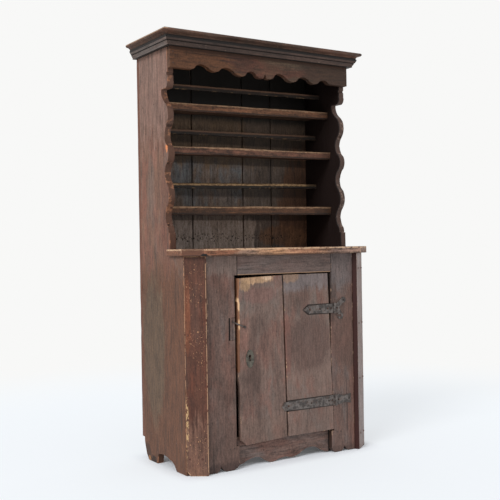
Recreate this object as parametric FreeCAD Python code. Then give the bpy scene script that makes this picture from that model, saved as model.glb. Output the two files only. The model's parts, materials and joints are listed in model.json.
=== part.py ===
import FreeCAD, Part
import math
import os
from FreeCAD import Vector

# Step back cupboard: a board-built lower cupboard with canted corner posts and one plank door,
# and a shallower open plate rack above it, under a moulded cornice.
# Millimetres. X runs to the right, Y to the back, Z up. Depths are written from the front arris
# of the corner posts; the finished pieces are moved so that the origin is on the floor, under
# the middle of the whole cupboard.

# ---------------------------------------------------------------- driving dimensions

# carcass
carcass_width = 940.0
carcass_depth = 440.0
side_thickness = 30.0
back_thickness = 20.0
housing_depth = 8.0

# counter board
counter_height = 925.0
counter_thickness = 30.0
counter_overhang = 21.0
counter_ear = 17.0
counter_front_half = 402.0
counter_cant_depth = 59.0

# open rack above the counter, from the counter top upwards
rack_setback = 167.0
counter_bay = 146.0
lower_bay = 225.0
middle_bay = 156.0
top_bay = 247.0
lower_shelf_thickness = 38.0
middle_shelf_thickness = 34.0
upper_shelf_thickness = 34.0
shelf_depth = 200.0
upper_shelf_depth = 183.0
shelf_lip = 26.0
shelf_web = 20.0

# the rack was put together out of level: each right end sits higher than the left
lower_shelf_tilt = 7.0
middle_shelf_tilt = 10.0
upper_shelf_tilt = 15.0
plate_rail_tilt = 15.0

# plate rails, each above its shelf
rail_height = 22.0
rail_thickness = 12.0
rail_housing = 6.0
rail_back_space = 75.0
upper_rail_back_space = 108.0
lower_rail_rise = 86.0
middle_rail_rise = 65.0
upper_rail_rise = 70.0

# scalloped front edge of the side boards
scallop_depth = 35.0
scallop_start_over_counter = 68.0
scallop_cusp = 10.0
first_hollow_over_counter = 137.0
first_crest_over_shelf = 42.0
second_hollow_over_shelf = 138.0
second_crest_below_shelf = 9.0
third_hollow_over_shelf = 34.0
third_crest_below_shelf = 37.0
shoulder_over_shelf = 42.0
shoulder_depth = 60.0
lobe_undercut = 18.0
lobe_round = 30.0
lobe_nick = 7.0
lobe_nick_rise = 52.0

# cornice and valance
cap_thickness = 28.0
cap_overhang = 51.0
nose_height = 15.0
nose_depth = 8.0
cove_inset = 20.0
cove_fillet = 4.0
bed_height = 36.0
bed_top_projection = 34.0
bed_foot_projection = 19.0
bed_fillet = 5.0
quirk_depth = 3.0
valance_thickness = 26.0
valance_drop = 124.0
valance_flat_end = 96.0
valance_left_turns = ((-1, 0), (-0.86, 26), (-0.67, 1), (-0.53, 23), (-0.31, -6), (-0.18, 20), (-0.05, -6))
valance_right_turns = ((0.08, -6), (0.21, 23), (0.42, -7), (0.57, 20), (0.75, -5), (0.89, 17), (1, 0))
valance_notch_half_width = 9.0
valance_notch_height = 19.0

# corner posts, stiles and rail
post_cant_width = 75.0
post_cant_depth = 53.0
post_thickness = 22.0
post_worn_height = 24.0
post_worn_width = 16.0
stile_thickness = 24.0
left_stile_width = 147.0
right_stile_width = 122.0
rail_depth = 83.0
tenon_thickness = 10.0
tenon_length = 32.0
tenon_shoulder = 11.0
foot_notch_in = 58.0
foot_notch_half_width = 23.0
foot_notch_height = 28.0
foot_toe_in = 110.0
foot_corner_height = 22.0

# apron under the door and foot cut-outs of the sides
apron_thickness = 20.0
apron_height = 130.0
apron_lap = 62.0
apron_end_height = 12.0
apron_turns = ((-1, 12), (-0.62, 34), (-0.27, 2), (-0.04, 13), (0.14, 8), (0.56, 38), (0.97, 4))
front_foot_length = 89.0
back_foot_length = 84.0
back_foot_rake = 42.0
back_foot_rise = 75.0
foot_gap_height = 48.0

# cupboard inside
floor_thickness = 22.0
bearer_height = 66.0
bearer_thickness = 20.0
bearer_length = 500.0
inner_shelf_height = 470.0
inner_shelf_thickness = 20.0
inner_shelf_setback = 80.0
cleat_height = 26.0
cleat_thickness = 24.0
cleat_end_gap = 14.0

# back boards
back_joint_left = -207.0
back_joint_middle = 68.0
back_joint_right = 231.0
back_joint_gap = 6.0
back_lap = 9.0
back_lap_gap = 1.0
back_bottom = 95.0

# door
door_thickness = 22.0
door_proud = 0.5
door_bottom = 105.0
door_top_gap = 5.0
stile_relief = 13.0
relief_margin = 6.0
door_left_gap = 12.0
door_right_gap_top = 19.0
door_right_lap = 5.0
door_side_gap = 1.5
relief_start_height = 470.0
left_board_top = 230.0
left_board_bottom = 245.0
board_gap = 7.0
door_top_slope = 8.0
door_top_step = 1.0
door_bottom_slope = 10.0
left_corner_width = 36.0
left_corner_height = 26.0
waist_depth = 8.0
waist_top_drop = 420.0
waist_run = 40.0
right_corner_width = 3.0
right_corner_height = 3.0
batten_height = 84.0
batten_thickness = 18.0
batten_end_gap = 34.0

# hinges
pin_offset = 15.0
pin_radius = 2.5
knuckle_radius = 5.5
running_clearance = 0.09
moving_gap = 0.3
iron_thickness = 3.0
upper_hinge_drop = 158.0
lower_hinge_rise = 132.0
strap_height = 42.0
upper_strap_length = 168.0
lower_strap_length = 290.0
lower_strap_height = 45.0
upper_spear_length = 35.0
lower_spear_length = 18.0
spear_notch = 4.0
leaf_body_width = 23.0
leaf_nail_root = 10.0
horn_out = 46.0
horn_rise = 35.0
horn_radius = 13.0
curl_out = 28.0
curl_drop = 35.0
curl_radius = 16.0
curl_eye_radius = 6.0
lower_leaf_length = 80.0
lower_leaf_waist = 15.0
lower_leaf_end = 22.0
upper_knuckle_length = 26.0
lower_knuckle_length = 30.0
outer_knuckle_length = 8.0
pin_head_radius = 4.2
pin_head_height = 2.5

# lock
keyhole_in = 58.0
keyhole_drop = 338.0
keyhole_radius = 6.5
keyhole_slot_width = 7.0
keyhole_slot_drop = 20.0
escutcheon_width = 40.0
escutcheon_height = 76.0
escutcheon_thickness = 2.0
lock_width = 86.0
lock_height = 94.0
lock_depth = 18.0
lock_wall = 3.5
bolt_thickness = 6.4
bolt_height = 24.0
bolt_length = 70.0
bolt_gap = 0.3

# latch hook and the block let into the stile
block_width = 27.0
block_height = 94.0
block_depth = 16.0
block_gap = 3.0
block_top_drop = 172.0
hook_pivot_in = 34.0
hook_pivot_drop = 213.0
hook_length = 68.0
hook_angle = 22.0
hook_width = 5.5
hook_eye_radius = 5.5
hook_thickness = 3.5
hook_nail_radius = 2.2
hook_head_radius = 5.0
hook_head_height = 1.6

# nails
nail_radius = 1.8
nail_head_radius = 4.5
nail_head_height = 1.5
nail_length = 48.0
nail_hold = 15.0
nail_edge = 40.0
tack_length = 18.0
brad_radius = 1.4
post_nail_count = 4
post_nail_end = 70.0
post_nail_inner = 26.0
post_nail_outer = 14.0
valance_nail_end = 20.0
strap_nail_root = 34.0
strap_nail_tip = 36.0
strap_rivet = 14.0
lock_nail_edge = 12.0
block_nail_edge = 12.0
escutcheon_pin_radius = 1.2
escutcheon_pin_edge = 7.0

# ---------------------------------------------------------------- derived positions

half_width = carcass_width / 2
inner_half = half_width - side_thickness
housed_half = inner_half + housing_depth
overall_depth = counter_overhang + carcass_depth + back_thickness
front = counter_overhang - overall_depth / 2
rear = carcass_depth + back_thickness

counter_bottom = counter_height - counter_thickness
lower_shelf_bottom = counter_height + counter_bay
lower_shelf_top = lower_shelf_bottom + lower_shelf_thickness
middle_shelf_bottom = lower_shelf_top + lower_bay
middle_shelf_top = middle_shelf_bottom + middle_shelf_thickness
upper_shelf_bottom = middle_shelf_top + middle_bay
upper_shelf_top = upper_shelf_bottom + upper_shelf_thickness
cap_bottom = upper_shelf_top + top_bay
cap_top = cap_bottom + cap_thickness
valance_bottom = cap_bottom - valance_drop
valance_front = rack_setback - valance_thickness

# the square-cut inner edge of each canted post stands in front of the stile
post_width = math.hypot(post_cant_width, post_cant_depth)
post_along = Vector(post_cant_width / post_width, -post_cant_depth / post_width, 0)
post_inward = Vector(post_cant_depth / post_width, post_cant_width / post_width, 0)
post_inner_x = -half_width + post_cant_width + post_thickness * post_inward.x
stile_face = post_thickness * post_inward.y
stile_back = stile_face + stile_thickness
post_outer_run = (post_cant_depth - stile_face) / -post_along.y
post_outer_x = post_inner_x - post_along.x * post_outer_run
stile_outer_x = post_inner_x - post_along.x * stile_thickness / -post_along.y

opening_left = post_inner_x + left_stile_width
opening_right = -post_inner_x - right_stile_width
rail_bottom = counter_bottom - rail_depth
floor_top = apron_height
floor_bottom = floor_top - floor_thickness
floor_front = stile_back + apron_thickness

door_face = stile_face - door_proud
door_back = door_face + door_thickness
door_top = rail_bottom - door_top_gap
door_left = opening_left - stile_relief + door_left_gap
door_right_top = opening_right - door_right_gap_top
door_right_bottom = opening_right + door_right_lap
board_joint_top = door_left + left_board_top
board_joint_bottom = door_left + left_board_bottom

pin_x = opening_right + pin_offset
pin_y = stile_face - moving_gap - knuckle_radius
upper_hinge_z = door_top - upper_hinge_drop
lower_hinge_z = door_bottom + lower_hinge_rise
keyhole_x = door_left + keyhole_in
keyhole_z = door_top - keyhole_drop
hook_x = door_left + hook_pivot_in
hook_z = door_top - hook_pivot_drop

# ---------------------------------------------------------------- shape helpers


def outline(place, start, runs):
    """Closed face: a run of one point is straight, of two is an arc, of more is a curve."""
    edges = []
    here = place(*start)
    for run in runs + [[start]]:
        points = [place(*point) for point in run]
        if len(points) == 1 and points[0].distanceToPoint(here) < 1e-6:
            continue
        if len(points) == 1:
            edges.append(Part.LineSegment(here, points[0]).toShape())
        elif len(points) == 2:
            edges.append(Part.Arc(here, points[0], points[1]).toShape())
        else:
            curve = Part.BSplineCurve()
            curve.interpolate([here] + points)
            edges.append(curve.toShape())
        here = points[-1]
    return Part.Face(Part.Wire(edges))


def plan(start, runs, z0, z1):
    """A shape drawn on the floor plan, standing from z0 to z1."""
    return outline(lambda x, y: Vector(x, y, z0), start, runs).extrude(Vector(0, 0, z1 - z0))


def elevation(start, runs, y0, y1):
    """A shape drawn on the front view, reaching from depth y0 to y1."""
    return outline(lambda x, z: Vector(x, y0, z), start, runs).extrude(Vector(0, y1 - y0, 0))


def end_view(start, runs, x0, x1):
    """A shape drawn on the side view, reaching from x0 to x1."""
    return outline(lambda y, z: Vector(x0, y, z), start, runs).extrude(Vector(x1 - x0, 0, 0))


def straight(points):
    return [[point] for point in points]


def flipped(runs):
    return [[(-x, z) for x, z in run] for run in runs]


def ogee(start, end):
    """Two arcs that leave start level and reach end level."""
    half_run, half_rise = (end[0] - start[0]) / 2, (end[1] - start[1]) / 2
    turn = math.atan2(half_rise, abs(half_run))
    radius = (half_run ** 2 + half_rise ** 2) / (2 * half_rise)
    run = math.copysign(radius * math.sin(turn), half_run)
    rise = radius * (1 - math.cos(turn))
    middle = (start[0] + half_run, start[1] + half_rise)
    return [[(start[0] + run, start[1] + rise), middle], [(end[0] - run, end[1] - rise), end]]


def wave(turns):
    """A chain of ogees from the first turning point to the last."""
    runs = []
    for start, end in zip(turns, turns[1:]):
        runs += ogee(start, end)
    return runs


def block(x0, x1, y0, y1, z0, z1):
    return Part.makeBox(x1 - x0, y1 - y0, z1 - z0, Vector(x0, y0, z0))


def rod(radius, start, direction, length):
    return Part.makeCylinder(radius, length, start, direction)


def mirrored(shape):
    return shape.mirror(Vector(0, 0, 0), Vector(1, 0, 0))


def nail(x, y, z, direction, length, proud=False):
    """A cut nail driven along direction from the surface point; its head is flush or proud."""
    surface = Vector(x, y, z)
    head_start = surface - direction * nail_head_height if proud else surface
    head = rod(nail_head_radius, head_start, direction, nail_head_height)
    return head.fuse(rod(nail_radius, surface, direction, length)).removeSplitter()


RIGHT, LEFT = Vector(1, 0, 0), Vector(-1, 0, 0)
BACK, FORWARD = Vector(0, 1, 0), Vector(0, -1, 0)
DOWN = Vector(0, 0, -1)

pieces = {}


def fasten(name, nails, *through):
    """Store a set of nails and cut their holes in the pieces that they go through."""
    group = Part.makeCompound(nails)
    for target in through:
        pieces[target] = pieces[target].cut(group)
    pieces[name] = group


# ---------------------------------------------------------------- shelves, floor and counter


def tilted(half, front_y, back_y, bottom, top, tilt):
    """A board across the rack whose right end is higher by tilt."""
    return elevation(
        (-half, bottom), straight([(half, bottom + tilt), (half, top + tilt), (-half, top)]),
        front_y, back_y)


def shelf(thickness, bottom, depth, tilt):
    """A shelf board with a deeper lip along its front edge."""
    lip_front = carcass_depth - depth
    top = bottom + thickness
    lip = tilted(housed_half, lip_front, lip_front + shelf_lip, bottom, top, tilt)
    web = tilted(housed_half, lip_front, carcass_depth, top - shelf_web, top, tilt)
    return lip.fuse(web).removeSplitter()


pieces["lower_shelf"] = shelf(lower_shelf_thickness, lower_shelf_bottom, shelf_depth, lower_shelf_tilt)
pieces["middle_shelf"] = shelf(middle_shelf_thickness, middle_shelf_bottom, shelf_depth, middle_shelf_tilt)
pieces["upper_shelf"] = shelf(upper_shelf_thickness, upper_shelf_bottom, upper_shelf_depth,
                              upper_shelf_tilt)
pieces["cupboard_floor"] = block(-housed_half, housed_half, floor_front, carcass_depth,
                                 floor_bottom, floor_bottom + floor_thickness)


def plate_rail(bottom, back_space):
    back = carcass_depth - back_space
    return tilted(inner_half + rail_housing, back - rail_thickness, back,
                  bottom, bottom + rail_height, plate_rail_tilt)


pieces["lower_plate_rail"] = plate_rail(lower_shelf_top + lower_rail_rise, rail_back_space)
pieces["middle_plate_rail"] = plate_rail(middle_shelf_top + middle_rail_rise, rail_back_space)
pieces["upper_plate_rail"] = plate_rail(upper_shelf_top + upper_rail_rise, upper_rail_back_space)

ear_half = half_width + counter_ear
cant_back = counter_cant_depth - counter_overhang
pieces["counter_board"] = plan(
    (-counter_front_half, -counter_overhang),
    straight([
        (counter_front_half, -counter_overhang),
        (ear_half, cant_back),
        (ear_half, rack_setback),
        (housed_half, rack_setback),
        (housed_half, carcass_depth),
        (-housed_half, carcass_depth),
        (-housed_half, rack_setback),
        (-ear_half, rack_setback),
        (-ear_half, cant_back),
    ]),
    counter_bottom, counter_height)

# ---------------------------------------------------------------- side boards


def upright_wave(turns):
    """A chain of ogees that runs up an edge drawn on the side view."""
    swapped = wave([(z, y) for y, z in turns])
    return [[(y, z) for z, y in run] for run in swapped]


def side_board():
    shoulder_top = upper_shelf_top + shoulder_over_shelf
    shoulder_back = rack_setback + shoulder_depth
    scallop_start = counter_height + scallop_start_over_counter
    hollow = rack_setback + scallop_depth
    scallops = [
        (rack_setback + scallop_cusp, scallop_start),
        (hollow, counter_height + first_hollow_over_counter),
        (rack_setback, lower_shelf_top + first_crest_over_shelf),
        (hollow, lower_shelf_top + second_hollow_over_shelf),
        (rack_setback, middle_shelf_bottom - second_crest_below_shelf),
        (hollow, middle_shelf_top + third_hollow_over_shelf),
        (rack_setback, upper_shelf_bottom - third_crest_below_shelf),
        (shoulder_back, shoulder_top),
    ]
    lobe_back = rack_setback + lobe_undercut
    nick = shoulder_top + lobe_nick_rise
    back_foot_front = carcass_depth - back_foot_rake - back_foot_length
    front_foot_back = post_cant_depth + front_foot_length
    gap_middle = (back_foot_front + front_foot_back) / 2
    runs = [
        [(post_cant_depth, counter_bottom)],
        [(rack_setback, counter_bottom)],
    ]
    runs += straight([(rack_setback, scallop_start), scallops[0]])
    runs += upright_wave(scallops)
    runs += [
        [(lobe_back, shoulder_top)],
        [(rack_setback + lobe_undercut * 0.3, shoulder_top + lobe_round * 0.3),
         (rack_setback, shoulder_top + lobe_round)],
        [(rack_setback, nick)],
        [(rack_setback + lobe_nick, nick + lobe_nick), (rack_setback, nick + 2 * lobe_nick)],
        [(rack_setback, cap_bottom)],
        [(carcass_depth, cap_bottom)],
        [(carcass_depth, back_foot_rise)],
        [(carcass_depth - back_foot_rake / 2, foot_gap_height / 2)],
        [(carcass_depth - back_foot_rake, 0)],
        [(back_foot_front, 0)],
        [(back_foot_front - 9, foot_gap_height - 6)],
        [(gap_middle + 40, foot_gap_height), (front_foot_back + 60, foot_gap_height - 10)],
        [(front_foot_back + 26, foot_gap_height * 0.6), (front_foot_back, 0)],
    ]
    board = end_view((post_cant_depth, 0), runs, -half_width, -inner_half)
    return board


housed = Part.makeCompound([pieces[name] for name in (
    "lower_shelf", "middle_shelf", "upper_shelf", "cupboard_floor", "counter_board",
    "lower_plate_rail", "middle_plate_rail", "upper_plate_rail")])
plain_side = side_board()
pieces["left_side_board"] = plain_side.cut(housed)
pieces["right_side_board"] = mirrored(plain_side).cut(housed)

# ---------------------------------------------------------------- back boards

back_edges = (-half_width, back_joint_left, back_joint_middle, back_joint_right, half_width)
back_names = ("outer_left_back_board", "inner_left_back_board", "inner_right_back_board",
              "outer_right_back_board")
for index, name in enumerate(back_names):
    left_edge = back_edges[index] + (back_joint_gap / 2 if index > 0 else 0)
    right_edge = back_edges[index + 1] - (back_joint_gap / 2 if index < 3 else 0)
    board = block(left_edge, right_edge, carcass_depth, rear, back_bottom, cap_bottom)
    lap_plane = carcass_depth + back_thickness / 2
    if index < 3:
        tongue = block(right_edge, right_edge + back_joint_gap + back_lap, lap_plane, rear,
                       back_bottom, cap_bottom)
        board = board.fuse(tongue).removeSplitter()
    if index > 0:
        rebate = block(left_edge, left_edge + back_lap + back_lap_gap, lap_plane, rear,
                       back_bottom, cap_bottom)
        board = board.cut(rebate)
    pieces[name] = board

# ---------------------------------------------------------------- valance and cornice


def spread(turns, middle, half_length, level):
    """Turning points given as shares of half the scallop's length and rises over its level."""
    return [(middle + share * half_length, level + rise) for share, rise in turns]


half_flat = half_width - valance_flat_end
left_turns = spread(valance_left_turns, 0, half_flat, valance_bottom)
right_turns = spread(valance_right_turns, 0, half_flat, valance_bottom)
notch_x = (left_turns[-1][0] + right_turns[0][0]) / 2
notch_foot = left_turns[-1][1]
pieces["valance"] = elevation(
    (-half_width, valance_bottom),
    straight([left_turns[0]]) + wave(left_turns) + straight([
        (notch_x - valance_notch_half_width, notch_foot),
        (notch_x, notch_foot + valance_notch_height),
        (notch_x + valance_notch_half_width, notch_foot),
        right_turns[0],
    ]) + wave(right_turns) + straight([
        (half_width, valance_bottom),
        (half_width, cap_bottom),
        (-half_width, cap_bottom),
    ]),
    valance_front, rack_setback)


def moulded_slab(profile, bottom, top):
    """A slab whose front and two ends carry the same moulding, mitred at the corners."""
    wide = half_width + cap_overhang * 2
    at_front = [[(valance_front - out, z) for out, z in run] for run in profile]
    at_right = [[(half_width + out, z) for out, z in run] for run in profile]
    at_left = [[(-x, z) for x, z in run] for run in reversed_runs(at_right)]
    lengthwise = end_view((rear, bottom), [[(valance_front - profile[0][-1][0], bottom)]]
                          + at_front[1:] + [[(rear, top)]], -wide, wide)
    crosswise = elevation(at_left[0][0], at_left[1:] + at_right, 0, rear)
    return lengthwise.common(crosswise)


def reversed_runs(runs):
    """The same outline walked the other way round; the first run is its start point."""
    points = [runs[0][-1]]
    walked = []
    for run in runs[1:]:
        walked.append((points[-1], run))
        points.append(run[-1])
    result = [[points[-1]]]
    for start, run in reversed(walked):
        result.append(list(reversed(run[:-1])) + [start])
    return result


cove_out = cap_overhang - cove_inset
nose_out = cap_overhang - nose_depth
nose_bottom = cap_top - nose_height
cap_profile = [
    [(cove_out, cap_bottom)],
    [(cove_out, cap_bottom + cove_fillet)],
    [(cove_out + (nose_out - cove_out) * 0.35, nose_bottom - (nose_bottom - cap_bottom - cove_fillet) * 0.3),
     (nose_out, nose_bottom)],
    [(cap_overhang, nose_bottom + nose_height / 2), (nose_out, cap_top)],
]
pieces["cornice_cap"] = moulded_slab(cap_profile, cap_bottom, cap_top)

bed_bottom = cap_bottom - bed_height
bed_middle = bed_bottom + bed_height / 2
bed_middle_out = (bed_foot_projection + bed_top_projection) / 2
bed_profile = [
    [(bed_foot_projection, bed_bottom)],
    [(bed_foot_projection, bed_bottom + bed_fillet)],
    [(bed_middle_out, bed_middle - quirk_depth / 2)],
    [(bed_middle_out - quirk_depth, bed_middle)],
    [(bed_middle_out + quirk_depth / 2, bed_middle + quirk_depth / 2)],
    [(bed_top_projection, cap_bottom - bed_fillet)],
    [(bed_top_projection, cap_bottom)],
]
bed_slab = moulded_slab(bed_profile, bed_bottom, cap_bottom)
bed_frame = bed_slab.cut(block(-half_width, half_width, valance_front, rear, bed_bottom, cap_bottom))
mitre = plan(
    (-half_width, valance_front),
    straight([
        (half_width, valance_front),
        (half_width + cap_overhang, valance_front - cap_overhang),
        (-half_width - cap_overhang, valance_front - cap_overhang),
    ]),
    bed_bottom, cap_bottom)
pieces["front_bed_moulding"] = bed_frame.common(mitre)
returns = bed_frame.cut(mitre)
left_half = block(-half_width - cap_overhang, 0, 0, rear, bed_bottom, cap_bottom)
pieces["left_bed_moulding"] = returns.common(left_half)
pieces["right_bed_moulding"] = mirrored(pieces["left_bed_moulding"])

# ---------------------------------------------------------------- corner posts and face frame

left_post = plan(
    (-half_width, post_cant_depth),
    straight([
        (-half_width + post_cant_width, 0),
        (post_inner_x, stile_face),
        (post_outer_x, post_cant_depth),
    ]),
    0, counter_bottom)
worn_corner = elevation(
    (-half_width - 1, 0),
    straight([(-half_width + post_worn_width, 0), (-half_width, post_worn_height),
              (-half_width - 1, post_worn_height)]),
    -1, post_cant_depth + 1)
left_post = left_post.cut(worn_corner)
pieces["left_corner_post"] = left_post
pieces["right_corner_post"] = mirrored(left_post)


def stile_plan(inner_x):
    """The stile's section: its outer edge is bevelled to lie on the back of the post."""
    return plan(
        (post_inner_x, stile_face),
        straight([(inner_x, stile_face), (inner_x, stile_back), (stile_outer_x, stile_back)]),
        0, counter_bottom)


def rounded(x0, z0, x1, z1):
    """An arc that swells downwards between a point on the floor and one above it."""
    low_x, high_x, high_z = (x0, x1, z1) if z1 > z0 else (x1, x0, z0)
    middle = (low_x + (high_x - low_x) * 0.62, high_z * 0.38)
    return [[middle, (x1, z1)]]


def stile_foot(inner_x):
    """The scalloped foot, from the post to the inner edge."""
    notch_x = post_inner_x + foot_notch_in
    toe_x = post_inner_x + foot_toe_in
    return ([[(notch_x - foot_notch_half_width, 0)]]
            + rounded(notch_x - foot_notch_half_width, 0, notch_x, foot_notch_height)
            + rounded(notch_x, foot_notch_height, notch_x + foot_notch_half_width, 0)
            + [[(toe_x, 0)]]
            + rounded(toe_x, 0, inner_x, foot_corner_height))


relief_bottom = door_bottom - relief_margin
left_relief = opening_left - stile_relief
left_stile = elevation(
    (stile_outer_x, 0),
    stile_foot(opening_left) + straight([
        (opening_left, relief_bottom),
        (left_relief, relief_bottom),
        (left_relief, rail_bottom),
        (opening_left, rail_bottom),
        (opening_left, counter_bottom),
        (stile_outer_x, counter_bottom),
    ]),
    stile_face, stile_back)
pieces["left_stile"] = left_stile.common(stile_plan(opening_left))

# the right stile is planed back below the middle, where the door's edge leans over it
lean = (door_right_bottom - door_right_top) / (door_top - door_bottom)
relief_start_x = door_right_top + lean * (door_top - relief_start_height) + door_side_gap
relief_end_x = door_right_bottom + door_side_gap
right_foot_x = opening_right - 8
right_stile = elevation(
    (-stile_outer_x, 0),
    flipped(stile_foot(-right_foot_x)) + straight([
        (right_foot_x, relief_bottom),
        (relief_end_x, relief_bottom),
        (relief_start_x, relief_start_height),
        (opening_right, rail_bottom),
        (opening_right, counter_bottom),
        (-stile_outer_x, counter_bottom),
    ]),
    stile_face, stile_back)
pieces["right_stile"] = right_stile.common(mirrored(stile_plan(-right_foot_x)))

tenon_front = stile_face + (stile_thickness - tenon_thickness) / 2
top_rail = block(opening_left, opening_right, stile_face, stile_back, rail_bottom, counter_bottom)
tenons = block(opening_left - tenon_length, opening_right + tenon_length,
               tenon_front, tenon_front + tenon_thickness,
               rail_bottom + tenon_shoulder, counter_bottom - tenon_shoulder)
pieces["top_rail"] = top_rail.fuse(tenons).removeSplitter()
for name in ("left_stile", "right_stile"):
    pieces[name] = pieces[name].cut(pieces["top_rail"])

apron_left = opening_left - apron_lap
apron_right = opening_right + apron_lap
apron_wave = spread(apron_turns, (opening_left + opening_right) / 2, (opening_right - opening_left) / 2, 0)
pieces["scalloped_apron"] = elevation(
    (apron_left, apron_end_height),
    straight([apron_wave[0]]) + wave(apron_wave) + straight([
        (apron_right, apron_wave[-1][1]),
        (apron_right, apron_height),
        (apron_left, apron_height),
    ]),
    stile_back, floor_front)

pieces["floor_bearer"] = block(-bearer_length / 2, bearer_length / 2,
                               floor_front, floor_front + bearer_thickness,
                               floor_bottom - bearer_height, floor_bottom)

# ---------------------------------------------------------------- inside the cupboard

inner_shelf_bottom = inner_shelf_height - inner_shelf_thickness
pieces["inner_shelf"] = block(-inner_half, inner_half, inner_shelf_setback, carcass_depth,
                              inner_shelf_bottom, inner_shelf_height)


def cleats(top):
    left_cleat = block(-inner_half, -inner_half + cleat_thickness,
                       inner_shelf_setback + cleat_end_gap, carcass_depth - cleat_end_gap,
                       top - cleat_height, top)
    return Part.makeCompound([left_cleat, mirrored(left_cleat)])


pieces["shelf_cleats"] = cleats(inner_shelf_bottom)
pieces["counter_cleats"] = cleats(counter_bottom)

# ---------------------------------------------------------------- door

pieces["left_door_board"] = elevation(
    (door_left, door_top - door_top_slope),
    straight([
        (board_joint_top, door_top - door_top_step),
        (board_joint_bottom, door_bottom),
        (door_left + left_corner_width, door_bottom - door_bottom_slope),
        (door_left + waist_depth, door_bottom - door_bottom_slope + left_corner_height),
        (door_left + waist_depth, door_top - waist_top_drop - waist_run),
        (door_left, door_top - waist_top_drop),
    ]),
    door_face, door_back)
pieces["right_door_board"] = elevation(
    (board_joint_top + board_gap, door_top),
    straight([
        (door_right_top, door_top),
        (door_right_bottom, door_bottom + right_corner_height),
        (door_right_bottom - right_corner_width, door_bottom),
        (board_joint_bottom + board_gap, door_bottom),
    ]),
    door_face, door_back)


def batten(centre_z):
    return block(door_left + batten_end_gap, door_right_top - batten_end_gap / 2,
                 door_back, door_back + batten_thickness,
                 centre_z - batten_height / 2, centre_z + batten_height / 2)


pieces["upper_door_batten"] = batten(upper_hinge_z)
pieces["lower_door_batten"] = batten(lower_hinge_z)

# ---------------------------------------------------------------- hinges

strap_front = door_face - iron_thickness


def knuckle(bottom, length, bore):
    tube = rod(knuckle_radius, Vector(pin_x, pin_y, bottom), Vector(0, 0, 1), length)
    return tube.cut(rod(bore, Vector(pin_x, pin_y, bottom), Vector(0, 0, 1), length))


def hinge_strap(centre_z, length, height, knuckle_length, spear_length):
    """A tapering iron strap with a pointed end, wrapped round the pin at its knuckle."""
    root = pin_x - knuckle_radius - moving_gap
    tip = root - length
    low = centre_z - height / 2
    high = centre_z + height / 2
    strap = elevation(
        (root, low),
        straight([
            (root, high),
            (tip + spear_length + spear_notch, high - spear_notch),
            (tip + spear_length, high - spear_notch / 2),
            (tip, centre_z),
            (tip + spear_length, low + spear_notch / 2),
            (tip + spear_length + spear_notch, low + spear_notch),
        ]),
        strap_front, door_face)
    tab = block(root - 1, pin_x, strap_front, door_face,
                centre_z - knuckle_length / 2, centre_z + knuckle_length / 2)
    bore = pin_radius + running_clearance
    round_end = knuckle(centre_z - knuckle_length / 2, knuckle_length, bore)
    hole = rod(bore, Vector(pin_x, pin_y, low), Vector(0, 0, 1), height)
    return strap.fuse(tab).fuse(round_end).cut(hole).removeSplitter()


def hinge_leaf(centre_z, knuckle_length, plate):
    """The plate on the stile with the two outer knuckles that hold the pin."""
    upper = centre_z + knuckle_length / 2 + moving_gap
    lower = centre_z - knuckle_length / 2 - moving_gap - outer_knuckle_length
    clear_x = pin_x + knuckle_radius + moving_gap
    leaf_front = stile_face - iron_thickness
    leaf = plate
    for bottom in (upper, lower):
        tab = block(pin_x, clear_x + 4, leaf_front, stile_face, bottom, bottom + outer_knuckle_length)
        leaf = leaf.fuse(tab).fuse(knuckle(bottom, outer_knuckle_length, pin_radius))
    hole = rod(pin_radius, Vector(pin_x, pin_y, lower), Vector(0, 0, 1), upper - lower + outer_knuckle_length)
    return leaf.cut(hole).removeSplitter()


def hinge_pin(centre_z, knuckle_length):
    reach = knuckle_length / 2 + moving_gap + outer_knuckle_length
    shaft = rod(pin_radius, Vector(pin_x, pin_y, centre_z - reach), Vector(0, 0, 1), 2 * reach)
    top_head = rod(pin_head_radius, Vector(pin_x, pin_y, centre_z + reach), Vector(0, 0, 1), pin_head_height)
    foot_head = rod(pin_head_radius, Vector(pin_x, pin_y, centre_z - reach), DOWN, pin_head_height)
    return shaft.fuse(top_head).fuse(foot_head)


leaf_x = pin_x + knuckle_radius + moving_gap
leaf_front = stile_face - iron_thickness


def disc(x, z, radius, hole=0.0):
    plate = rod(radius, Vector(x, leaf_front, z), BACK, iron_thickness)
    return plate.cut(rod(hole, Vector(x, leaf_front, z), BACK, iron_thickness)) if hole else plate


# upper leaf: a body with an eyed horn above and a curled tail below
upper_reach = upper_knuckle_length / 2 + moving_gap + outer_knuckle_length
body_edge = leaf_x + leaf_body_width
horn_x = leaf_x + horn_out
horn_z = upper_hinge_z + horn_rise
tail_x = leaf_x + curl_out
tail_z = upper_hinge_z - curl_drop
upper_plate = block(leaf_x, body_edge, leaf_front, stile_face,
                    upper_hinge_z - upper_reach, upper_hinge_z + upper_reach)
upper_plate = upper_plate.fuse(elevation(
    (leaf_x + leaf_body_width / 4, upper_hinge_z + upper_reach - 2),
    straight([(body_edge, upper_hinge_z + upper_reach / 4),
              (horn_x + horn_radius / 3, horn_z - horn_radius * 0.75),
              (horn_x - horn_radius / 2, horn_z + horn_radius * 0.75)]),
    leaf_front, stile_face))
upper_plate = upper_plate.fuse(disc(horn_x, horn_z, horn_radius))
upper_plate = upper_plate.fuse(elevation(
    (leaf_x + leaf_body_width / 3, upper_hinge_z - upper_reach + 2),
    straight([(body_edge, upper_hinge_z - upper_reach / 5),
              (tail_x + curl_radius * 0.93, tail_z + curl_radius * 0.3),
              (tail_x, tail_z + curl_radius * 0.7)]),
    leaf_front, stile_face))
curl = disc(tail_x, tail_z, curl_radius, curl_eye_radius).cut(
    block(tail_x - curl_radius - 1, tail_x, leaf_front, stile_face,
          tail_z - curl_eye_radius / 2, tail_z + curl_eye_radius))
upper_plate = upper_plate.fuse(curl)
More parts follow.
